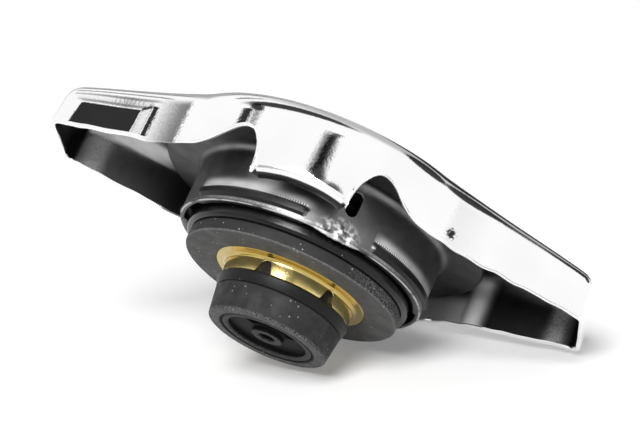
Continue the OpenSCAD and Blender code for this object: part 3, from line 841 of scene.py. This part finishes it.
def vector_calc(operation, first, second):
    return add(first.id_data, "ShaderNodeVectorMath", {0: first, 1: second}, operation=operation).outputs


def split(vector):
    return add(vector.id_data, "ShaderNodeSeparateXYZ", {0: vector}).outputs


def remap(value, low, high, to_low=0.0, to_high=1.0):
    """Smooth step of a value from one range to another."""
    inputs = {"Value": value, "From Min": low, "From Max": high, "To Min": to_low, "To Max": to_high}
    made = add(value.id_data, "ShaderNodeMapRange", inputs, interpolation_type="SMOOTHSTEP")
    return made.outputs["Result"]


def between(value, low, high, soft):
    """Mask that is full between two values, with soft edges inside them."""
    return times(remap(value, low, low + soft), remap(value, high, high - soft))


def blend(share, first, second):
    """Mix of two colours."""
    made = add(share.id_data, "ShaderNodeMix", {}, data_type="RGBA")
    feed(made.inputs["Factor"], share)
    feed(made.inputs[6], first)
    feed(made.inputs[7], second)
    return made.outputs[2]


def new_group(name, inputs, outputs):
    """Shader node group with its sockets, which are vectors or numbers as their values are."""
    tree = bpy.data.node_groups.new(name, "ShaderNodeTree")
    for way, sockets in (("INPUT", inputs), ("OUTPUT", outputs)):
        for label, value in sockets.items():
            kind = "NodeSocketVector" if isinstance(value, tuple) else "NodeSocketFloat"
            tree.interface.new_socket(label, in_out=way, socket_type=kind).default_value = value
    return tree, tree.nodes.new("NodeGroupInput").outputs, tree.nodes.new("NodeGroupOutput").inputs


def use_group(tree, group, **inputs):
    return add(tree, "ShaderNodeGroup", inputs, node_tree=group).outputs


# Effects that several finishes share

def place_group():
    """Place on the cap: millimetres, angle from the front in degrees, radius and height."""
    tree, _, out = new_group(
        "place_on_cap", {}, {"Millimetres": (0, 0, 0), "Angle": 0.0, "Radius": 0.0, "Height": 0.0})
    spot = add(tree, "ShaderNodeTexCoord", {}).outputs["Object"]
    scaled = vector_calc("MULTIPLY", spot, (1 / MM, 1 / MM, 1 / MM))["Vector"]
    axes = split(scaled)
    turn = calc("ARCTAN2", axes["X"], times(axes["Y"], -1.0))
    feed(out["Millimetres"], scaled)
    feed(out["Angle"], calc("DEGREES", turn))
    feed(out["Radius"], calc("SQRT", square_sum(axes["X"], axes["Y"])))
    feed(out["Height"], axes["Z"])
    return tree


def grain_group():
    """Noise in millimetres, with a given number of lumps per millimetre."""
    tree, into, out = new_group(
        "surface_grain", {"Millimetres": (0, 0, 0), "Scale": 1.0, "Detail": 2.0}, {"Value": 0.0})
    inputs = {"Vector": into["Millimetres"], "Scale": into["Scale"], "Detail": into["Detail"]}
    raw = add(tree, "ShaderNodeTexNoise", inputs).outputs["Fac"]
    feed(out["Value"], remap(raw, 0.25, 0.75))
    return tree


def speck_group():
    """Scattered specks: a share of the cells holds one, of a size given as a share of its cell."""
    inputs = {"Millimetres": (0, 0, 0), "Scale": 1.0, "Share": 0.3, "Size": 0.2}
    tree, into, out = new_group("dust_specks", inputs, {"Mask": 0.0})
    cell = add(tree, "ShaderNodeTexVoronoi", {"Vector": into["Millimetres"], "Scale": into["Scale"]}).outputs
    chance = add(tree, "ShaderNodeSeparateColor", {0: cell["Color"]}).outputs
    chosen = calc("LESS_THAN", chance["Red"], into["Share"])
    size = times(into["Size"], calc("ADD", chance["Green"], 0.3))
    near = remap(cell["Distance"], size, times(size, 0.5))
    feed(out["Mask"], times(near, chosen))
    return tree


PLACE = place_group()
GRAIN = grain_group()
SPECKS = speck_group()


# Finishes, with places in millimetres and angles in degrees, as the place on the cap gives them

def new_finish(name, metallic, gloss=0.5):
    """Material with a plain metallic value and specular level, and the place on the cap for its patterns."""
    made = bpy.data.materials.new(name)
    made.use_nodes = True
    tree = made.node_tree
    surface = tree.nodes["Principled BSDF"].inputs
    surface["Metallic"].default_value = metallic
    surface["Specular IOR Level"].default_value = gloss
    return made, surface, use_group(tree, PLACE)


def grain(place, scale, detail):
    spot = place["Millimetres"]
    return use_group(spot.id_data, GRAIN, Millimetres=spot, Scale=scale, Detail=detail)["Value"]


def specks(place, scale, share, size):
    spot = place["Millimetres"]
    return use_group(spot.id_data, SPECKS, Millimetres=spot, Scale=scale, Share=share, Size=size)["Mask"]


def grey(value):
    return (value, value, value, 1)


def coated(colour, *coats):
    """Colour under coats of grey, each given as its mask and its tone."""
    for mask, tone in coats:
        colour = blend(mask, colour, grey(tone))
    return colour


def dress(surface, colour, roughness, relief, depth):
    """Feeds colour and relief to a finish, and a roughness given as a mask with its values at 0 and at 1."""
    mask, at_none, at_full = roughness
    feed(surface["Base Color"], colour)
    feed(surface["Roughness"], remap(mask, 0, 1, at_none, at_full))
    inputs = {"Height": relief, "Distance": depth, "Strength": 1.0}
    feed(surface["Normal"], add(relief.id_data, "ShaderNodeBump", inputs).outputs["Normal"])


def chrome_finish():
    """Bright plating with peel and ripple: painted dark reflections in the front hollows, one painted dark
    reflection spot, and rougher plating under the tabs' lips with painted shade.
    """
    made, surface, place = new_finish("chrome_plating", 1)
    peel = grain(place, 2.5, 2.0)
    ripple = grain(place, 0.12, 1.0)
    axes = split(place["Millimetres"])
    uneven = times(calc("SUBTRACT", peel, 0.5), 0.8)

    # Painted shade on the underside of the tabs' turned-in lips, which are also rougher
    low = remap(place["Height"], Z_EDGE / MM - 0.2, Z_EDGE / MM - 0.7)
    turned_in = between(place["Radius"], (COVER_R - TAB_LIP) / MM + 0.1, COVER_R / MM - 0.55, 0.25)
    shaded_under_lip = times(low, turned_in)

    # Painted dark reflections in the front hollows between the wings and the body, stronger on the left
    along = calc("ADD", calc("ABSOLUTE", axes["X"]), uneven)
    hollow = times(remap(along, 31.0, 24.2), remap(along, 23.2, 24.2))
    front = times(remap(axes["Y"], -8.0, -12.0), remap(place["Height"], 28.5, 27.0))
    stronger_left = remap(axes["X"], 1.0, -1.0, 0.12, 0.8)
    painted_dark_reflection = times(hollow, front, stronger_left)

    # One painted dark reflection spot on the front right of the cover
    painted_spot_place = (24.5, -18.9, 22.0)
    from_painted_spot = vector_calc("DISTANCE", place["Millimetres"], painted_spot_place)["Value"]
    painted_spot = remap(calc("ADD", from_painted_spot, uneven), 1.1, 0.5)

    bright = blend(ripple, grey(0.94), grey(0.98))
    colour = coated(bright, (painted_dark_reflection, 0.02), (most(shaded_under_lip, painted_spot), 0.035))
    relief = calc("ADD", times(peel, 0.16), ripple)
    dress(surface, colour, (shaded_under_lip, 0.04, 0.35), relief, 0.015 * MM)
    return made


def inside_finish():
    """Dull dark metal inside the cover, with painted highlights beside the round body and under the left
    wing's top, a painted highlight and painted shade at the wings' ends, and stains lighter towards the ends
    and on the left as painted light.
    """
    made, surface, place = new_finish("dull_inside", 0.9)
    stain = grain(place, 0.16, 3.0)
    fine = grain(place, 2.5, 3.0)
    axes = split(place["Millimetres"])
    along = calc("ABSOLUTE", axes["X"])

    # Painted highlights on the inner fillets beside the round body and under the left wing's top, and painted
    # light on the wall beside the body; these are less metallic so that they stay light
    highlight_streak = times(between(axes["X"], 25.3, 31.6, 3.0), remap(axes["Z"], 29.5, 27.5))
    beside = times(between(axes["X"], 16.0, 27.5, 2.0), remap(axes["Z"], 27.0, 23.0))
    left_top = between(axes["X"], -44.0, -28.0, 8.0)
    highlight_under_top = times(between(axes["Z"], 26.6, 29.6, 0.7), left_top)
    painted_highlight = most(highlight_streak, highlight_under_top)
    # Painted highlight near the wings' ends, and painted shade on their end walls
    painted_end_highlight = times(between(along, 40.5, 46.2, 2.5), remap(fine, -0.9, 1.1))
    painted_end_shade = remap(along, 45.8, 46.6)
    # Stain patches, made lighter towards the wings' ends and on the left as painted light
    painted_light_left = remap(axes["X"], 5.0, -5.0, 0.3, 1.0)
    stain_and_painted_light = times(remap(along, 27.0, 42.0), remap(stain, -0.6, 0.9), painted_light_left)

    plain = blend(stain_and_painted_light, grey(0.04), grey(0.3))
    colour = coated(plain, (beside, 0.5), (painted_end_highlight, 0.55), (painted_highlight, 0.97), (painted_end_shade, 0.015))
    feed(surface["Metallic"], remap(most(painted_highlight, beside, painted_end_highlight), 0, 1, 0.9, 0.1))
    dress(surface, colour, (stain, 0.38, 0.28), fine, 0.005 * MM)
    return made


def cup_finish():
    """Satin pressed steel: toothed above the beads, with painted light above them and painted shade on them,
    and crumpled wear by the lip, its bright lumps partly painted highlights.
    """
    made, surface, place = new_finish("cup_steel", 1)
    fine = grain(place, 3.0, 3.0)
    stain = grain(place, 0.3, 3.0)
    lumps = grain(place, 1.1, 1.5)
    height = calc("SUBTRACT", place["Height"], Z_LIP / MM)
    bead_top = (BEAD_Z + BEAD_HALF_W) / MM
    bead_span = BEAD_ANGLE / DEGREE
    wall_r = CUP_R / MM

    from_start = calc("SUBTRACT", place["Angle"], BEAD_STARTS[0] / DEGREE)
    along_bead = calc("FLOORED_MODULO", from_start, BEAD_PITCH / DEGREE)
    on_bead = between(along_bead, 0.5, bead_span - 0.5, 1.5)
    near_bead = between(along_bead, -4.0, bead_span + 4.0, 9.0)
    # Painted light on the wall above the beads, a painted highlight along their crests, and painted shade on
    # the beads themselves
    from_top = remap(height, bead_top - 0.1, bead_top + 0.2)
    fading = remap(height, bead_top + 2.3, bead_top + 0.3)
    above = times(from_top, fading, near_bead, remap(stain, -1.5, 0.8))
    painted_crest_highlight = times(on_bead, between(height, bead_top - 0.05, bead_top + 0.4, 0.15))
    shaded = times(on_bead, between(height, 0.7, bead_top - 0.3, 0.2))
    # Toothed wrinkles above the beads: real relief, with their dark colour painted shade in the troughs
    teeth = calc("SINE", times(place["Angle"], TEETH_PER_DEGREE * TURN))
    wrinkle_teeth = times(teeth, on_bead, between(height, bead_top - 0.15, bead_top + 0.5, 0.15))

    from_worn = calc("SUBTRACT", place["Angle"], WORN_ANGLE / DEGREE)
    across = calc("DIVIDE", from_worn, WORN_SPREAD / DEGREE)
    up = calc("DIVIDE", height, WORN_H / MM)
    # Crumpled wear beside the first bead; its bright lumps are partly wear and partly painted highlights
    worn = times(remap(square_sum(across, up), 1.5, 0.3), remap(lumps, 0.3, 0.85))
    # Painted shade on the flange
    flange = remap(place["Radius"], wall_r + 0.3, wall_r + 1.0)
    # Painted highlight along the lip's outer edge, broken up by stains
    edge = times(remap(height, 0.2, 0.05), remap(place["Radius"], wall_r - 0.35, wall_r - 0.2))
    lip = times(edge, remap(stain, 0.0, 0.6))
    scratch = times(between(height, 0.35, 0.75, 0.15), remap(fine, 0.3, 0.9))

    plain = blend(stain, grey(0.15), grey(0.22))
    # Below 0.3 mm above the lip the steel is darkened as painted shade
    colour = coated(
        plain, (above, 0.65), (shaded, 0.03), (painted_crest_highlight, 0.95), (remap(wrinkle_teeth, 0.2, 0.8), 0.05),
        (remap(height, 0.3, 0.2), 0.06), (flange, 0.04), (scratch, 0.4), (worn, 0.75), (lip, 0.55))
    # Painted light, highlights and wear are less metallic so that they stay light
    bright = most(above, painted_crest_highlight, worn, lip)
    feed(surface["Metallic"], remap(bright, 0, 1, 1.0, 0.3))
    relief = calc("ADD", times(fine, 0.15), times(wrinkle_teeth, -0.5))
    dress(surface, colour, (stain, 0.44, 0.34), relief, 0.02 * MM)
    return made


def steel_finish(name, value):
    """Dull plated steel or drawn wire of the inner pieces."""
    made, surface, place = new_finish(name, 1)
    stain = grain(place, 0.4, 4.0)
    fine = grain(place, 5.0, 2.0)
    colour = blend(stain, grey(0.75 * value), grey(value))
    dress(surface, colour, (stain, 0.42, 0.3), fine, 0.004 * MM)
    return made


def carrier_finish():
    """Gloss black moulding with a few specks of dust."""
    made, surface, place = new_finish("gloss_black", 0, 0.3)
    fine = grain(place, 1.5, 3.0)
    dust = specks(place, 1.6, 0.08, 0.16)
    colour = coated(grey(0.004), (dust, 0.3))
    dress(surface, colour, (fine, 0.18, 0.26), fine, 0.002 * MM)
    return made


def seal_finish():
    """Matt rubber with white specks, painted shade on its side wall, and dust ground into its rim."""
    made, surface, place = new_finish("seal_rubber", 0, 0.3)
    fine = grain(place, 3.5, 4.0)
    film = grain(place, 0.35, 4.0)
    dust = specks(place, 1.5, 0.2, 0.24)
    z_face, rim_r = Z_SEAL / MM, SEAL_R / MM
    # The side wall is darkened as painted shade; a lighter, grainy line runs round the face's rim
    side = remap(place["Height"], z_face + 0.1, z_face + 0.3)
    corner = remap(place["Height"], z_face + 0.35, z_face + 0.2)
    edge = times(remap(place["Radius"], rim_r - 0.4, rim_r - 0.1), corner, remap(fine, 0.0, 0.9))
    right = remap(place["Angle"], 30.0, 55.0)
    powder = times(side, right, remap(fine, 0.35, 1.0), 0.6)
    face = blend(film, grey(0.075), grey(0.088))
    colour = coated(
        face, (times(side, 0.85), 0.012), (edge, 0.15), (powder, 0.25), (times(dust, 0.8), 0.5))
    dress(surface, colour, (film, 0.75, 0.6), fine, 0.012 * MM)
    return made


def boot_finish():
    """Matt rubber, dusty at the foot and black in the seam."""
    made, surface, place = new_finish("boot_rubber", 0, 0.25)
    fine = grain(place, 4.0, 4.0)
    film = grain(place, 0.5, 4.0)
    dust = specks(place, 1.5, 0.16, 0.22)
    foot = times(remap(place["Height"], 0.55, 0.05), remap(fine, 0.2, 0.9), 0.7)
    seam = remap(place["Radius"], 8.75, 8.6)
    plain = blend(film, grey(0.018), grey(0.03))
    colour = coated(plain, (foot, 0.22), (seam, 0.002), (times(dust, 0.7), 0.4))
    dress(surface, colour, (film, 0.7, 0.55), fine, 0.01 * MM)
    return made


def plug_finish():
    """Satin black moulding with a faint grain and a little dust."""
    made, surface, place = new_finish("plug_plastic", 0, 0.2)
    fine = grain(place, 3.0, 3.0)
    dust = specks(place, 1.6, 0.1, 0.15)
    plain = blend(fine, grey(0.005), grey(0.009))
    colour = coated(plain, (times(dust, 0.6), 0.35))
    dress(surface, colour, (fine, 0.36, 0.48), fine, 0.006 * MM)
    return made


def insert_finish():
    """Black moulding of the foot: dusty on its rim and boss, black in the recess and the seam."""
    made, surface, place = new_finish("insert_plastic", 0, 0.12)
    fine = grain(place, 4.0, 4.0)
    dust = specks(place, 1.7, 0.25, 0.13)
    rim = between(place["Radius"], 6.9, 8.15, 0.2)
    boss = remap(place["Radius"], 2.8, 2.6)
    low = remap(place["Height"], 0.5, 0.3)
    dusty = times(most(rim, boss), low, fine)
    colour = coated(grey(0.004), (dusty, 0.09), (times(dust, 0.6), 0.3))
    dress(surface, colour, (fine, 0.5, 0.7), fine, 0.006 * MM)
    return made


def brass_finish():
    """Pressed brass, bright on the tongues and darkened at the root and flange as painted shade."""
    made, surface, place = new_finish("pressed_brass", 1)
    fine = grain(place, 3.0, 3.0)
    stain = grain(place, 0.4, 1.0)
    # Painted shade on the root and flange, darkening the brass towards the seal
    root = remap(place["Height"], Z_SEAL / MM - 1.0, Z_SEAL / MM - 0.2, 0.0, 0.8)
    bright = blend(stain, (0.82, 0.64, 0.22, 1), (0.92, 0.76, 0.34, 1))
    colour = blend(root, bright, (0.42, 0.29, 0.06, 1))
    dress(surface, colour, (stain, 0.2, 0.14), fine, 0.002 * MM)
    return made


CHROME = chrome_finish()
INSIDE = inside_finish()
CUP_STEEL = cup_finish()
INNER_STEEL = steel_finish("inner_steel", 0.36)
SPRING_STEEL = steel_finish("spring_steel", 0.45)
CARRIER_BLACK = carrier_finish()
SEAL_RUBBER = seal_finish()
BOOT_RUBBER = boot_finish()
PLUG_BLACK = plug_finish()
INSERT_BLACK = insert_finish()
BRASS = brass_finish()


# The cap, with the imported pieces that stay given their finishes

stand_for(make_cover(), "outer_cover", "cap_shell", "cover_plating", CHROME, INSIDE)
stand_for(make_cup(), "bayonet_cup", "cap_shell", "cup_steel", CUP_STEEL)
stand_for(make_carrier(), "seal_carrier", "pressure_valve", "carrier_plastic", CARRIER_BLACK)
stand_for(make_seal(), "upper_seal", "pressure_valve", "seal_rubber", SEAL_RUBBER)
stand_for(make_collar(), "brass_retainer", "pressure_valve", "collar_brass", BRASS)
stand_for(make_plug(), "valve_body", "pressure_valve", "plug_plastic", PLUG_BLACK)
stand_for(make_boot(), "valve_boot", "pressure_valve", "boot_rubber", BOOT_RUBBER)
stand_for(make_insert(), "valve_insert", "pressure_valve", "plug_plastic", INSERT_BLACK)

pressure_coil = make_coil(
    "pressure_coil", "pressure_spring", big_r=17.8 * MM, small_r=11 * MM, wire=1.6 * MM, turns=4, sides=16)
stand_for(pressure_coil, "pressure_spring", "swivel_cage", "spring_steel", SPRING_STEEL)
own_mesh(pressure_coil)

vacuum_coil = make_coil(
    "vacuum_coil", "vacuum_spring", big_r=4.2 * MM, small_r=4.2 * MM, wire=0.4 * MM, turns=2.5, sides=12)
stand_for(vacuum_coil, "vacuum_spring", "pressure_valve", "spring_steel", SPRING_STEEL)
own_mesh(vacuum_coil)

KEPT = {
    "reaction_plate": INNER_STEEL, "centre_rivet": INNER_STEEL, "spring_seat": INNER_STEEL,
    "spring_cage": INNER_STEEL, "stem_stop": INNER_STEEL, "snap_ring": SPRING_STEEL,
    "vacuum_poppet": BRASS, "vacuum_seal": SEAL_RUBBER,
}
for node, finish in KEPT.items():
    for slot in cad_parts[node].material_slots:
        slot.material = finish


# Camera, from the photograph's viewing angle

CAMERA_PLACE = Vector((81.6, -388.5, -114.2)) * MM
CAMERA_AIM = Vector((-0.4, -0.4, 23.9)) * MM
CAMERA_ROLL = 24.48 * DEGREE
CAMERA_LENS = 139.2
CAMERA_NEAR = 0.01
CAMERA_FAR = 10

camera = new_object("camera", bpy.data.cameras.new("camera"))
camera.data.lens = CAMERA_LENS
camera.data.clip_start = CAMERA_NEAR
camera.data.clip_end = CAMERA_FAR
look = facing_turn(CAMERA_AIM - CAMERA_PLACE, "-Z")
camera.matrix_world = Matrix.Translation(CAMERA_PLACE) @ look @ Matrix.Rotation(CAMERA_ROLL, 4, "Z")
bpy.context.scene.camera = camera


# Floor on which the cap lies tilted, seen through from below

FLOOR_UP = Vector((-0.358, -0.605, 0.711)).normalized()
FLOOR_SIZE = 3.0
FLOOR_WHITE = 0.95
FLOOR_GLOW = 0.2


def make_floor():
    carried = [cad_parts[node] for node in ("outer_cover", "valve_boot")]
    lowest = min(vert.co.dot(FLOOR_UP) for piece in carried for vert in piece.data.vertices)
    bm = bmesh.new()
    bmesh.ops.create_grid(
        bm, x_segments=1, y_segments=1, size=FLOOR_SIZE,
        matrix=Matrix.Translation(FLOOR_UP * lowest) @ facing_turn(FLOOR_UP))
    mesh = bpy.data.meshes.new("floor")
    bm.to_mesh(mesh)
    bm.free()
    mesh.materials.append(floor_finish())
    new_object("floor", mesh)


def looking_rays(tree):
    """Light Path's outputs, and a mask of the rays that look: from the camera, in mirrors and in glass."""
    ray = add(tree, "ShaderNodeLightPath", {}).outputs
    return ray, most(ray["Is Camera Ray"], ray["Is Glossy Ray"], ray["Is Transmission Ray"])


def floor_finish():
    """White table: part plain diffuse, which keeps the shadow, and part glow for what looks at it."""
    made = bpy.data.materials.new("white_table")
    made.use_nodes = True
    tree = made.node_tree
    tree.nodes.remove(tree.nodes["Principled BSDF"])
    seen = looking_rays(tree)[1]
    paint = add(tree, "ShaderNodeBsdfDiffuse", {"Color": grey(FLOOR_WHITE)}).outputs[0]
    glow = add(tree, "ShaderNodeEmission", {"Strength": times(seen, FLOOR_GLOW)}).outputs[0]
    table = add(tree, "ShaderNodeAddShader", {0: paint, 1: glow}).outputs[0]
    clear = add(tree, "ShaderNodeBsdfTransparent", {}).outputs[0]
    back = add(tree, "ShaderNodeNewGeometry", {}).outputs["Backfacing"]
    shown = add(tree, "ShaderNodeMixShader", {0: back, 1: table, 2: clear}).outputs[0]
    feed(tree.nodes["Material Output"].inputs["Surface"], shown)
    return made


make_floor()


# Studio: white all round, with dark cards that the plating mirrors; its angles are in degrees

TO_CAMERA = CAMERA_PLACE - CAMERA_AIM
STUDIO_FRONT = (TO_CAMERA - FLOOR_UP * TO_CAMERA.dot(FLOOR_UP)).normalized()
STUDIO_RIGHT = FLOOR_UP.cross(STUDIO_FRONT)

# Each card: degrees to the camera's right and above the table, half width, half height, darkness, softness
DARK_CARDS = {
    "left_window": (-103.2, 53.8, 3.4, 3.4, 0.97, 0.3),
    "left_ceiling": (-116, 62, 12, 4.5, 0.95, 0.5),
    "left_rim": (-164, 43, 8, 3, 0.7, 0.4),
    "ceiling": (176, 68, 27, 12, 0.95, 0.4),
    "back_line": (178, 24, 14, 3, 0.7, 0.5),
    "front_patch": (11, 55, 5, 8, 0.95, 0.8),
    "front_beak": (18, 59.5, 6, 1.6, 0.9, 0.7),
    "front_foot": (19, 43, 6, 5, 0.9, 0.8),
    "back_right": (116, 24, 17, 10.5, 0.95, 0.35),
    "low_back": (148, 10, 14, 9, 0.94, 0.4),
    "over_top": (149, 29, 26, 26, 0.5, 0.9),
    "behind_left": (-171, 8, 17, 17, 0.6, 0.9),
    "behind_right": (139, -12, 17, 17, 0.6, 0.9),
    "low_left": (-94, 4, 15, 15, 0.55, 0.9),
    "low_front_right": (20, -3, 15, 15, 0.55, 0.9),
    "low_front_left": (-46, 23, 15, 15, 0.55, 0.9),
}

# Share of the white studio's light that falls on plain surfaces, beside the lamp's
ROOM_LIGHT = 0.28
LAMP_STRENGTH = 3.1
LAMP_SPREAD = 28
LAMP_RIGHT = -14
LAMP_UP = 44


def studio_direction(right, up):
    level = math.cos(right * DEGREE) * STUDIO_FRONT + math.sin(right * DEGREE) * STUDIO_RIGHT
    return math.cos(up * DEGREE) * level + math.sin(up * DEGREE) * FLOOR_UP


def card_group():
    """How much a dark card with soft edges covers a direction."""
    inputs = {
        "Direction": (0, 0, 1), "Facing": (0, 0, 1), "Across": (1, 0, 0), "Upward": (0, 1, 0),
        "Inner": 0.8, "Outer": 1.2,
    }
    tree, into, out = new_group("dark_card", inputs, {"Cover": 0.0})

    def along(socket):
        return vector_calc("DOT_PRODUCT", into["Direction"], into[socket])["Value"]

    spread = square_sum(along("Across"), along("Upward"))
    ahead = calc("GREATER_THAN", along("Facing"), 0.0)
    feed(out["Cover"], times(remap(spread, into["Outer"], into["Inner"]), ahead))
    return tree


def make_studio():
    world = bpy.data.worlds.new("studio")
    bpy.context.scene.world = world
    world.use_nodes = True
    tree = world.node_tree
    direction = add(tree, "ShaderNodeTexCoord", {}).outputs["Generated"]
    group = card_group()
    light = 1.0
    for right, up, width, height, darkness, softness in DARK_CARDS.values():
        facing = studio_direction(right, up)
        across = FLOOR_UP.cross(facing).normalized()
        upward = facing.cross(across)
        cover = use_group(
            tree, group, Direction=direction, Facing=facing, Across=across / math.sin(width * DEGREE),
            Upward=upward / math.sin(height * DEGREE), Inner=1 - softness, Outer=1 + softness)["Cover"]
        light = times(light, calc("SUBTRACT", 1.0, times(cover, darkness)))
    ray, seen = looking_rays(tree)
    background = tree.nodes["Background"].inputs
    feed(background["Color"], most(light, ray["Is Camera Ray"]))
    feed(background["Strength"], remap(seen, 0, 1, ROOM_LIGHT, 1.0))


def make_lamp():
    """Broad soft lamp to the left of the camera, far off."""
    lamp = new_object("soft_lamp", bpy.data.lights.new("soft_lamp", "SUN"))
    lamp.data.energy = LAMP_STRENGTH
    lamp.data.angle = LAMP_SPREAD * DEGREE
    place = studio_direction(LAMP_RIGHT, LAMP_UP)
    lamp.matrix_world = Matrix.Translation(place) @ facing_turn(place)


make_studio()
make_lamp()
bpy.context.scene.view_settings.view_transform = "Standard"
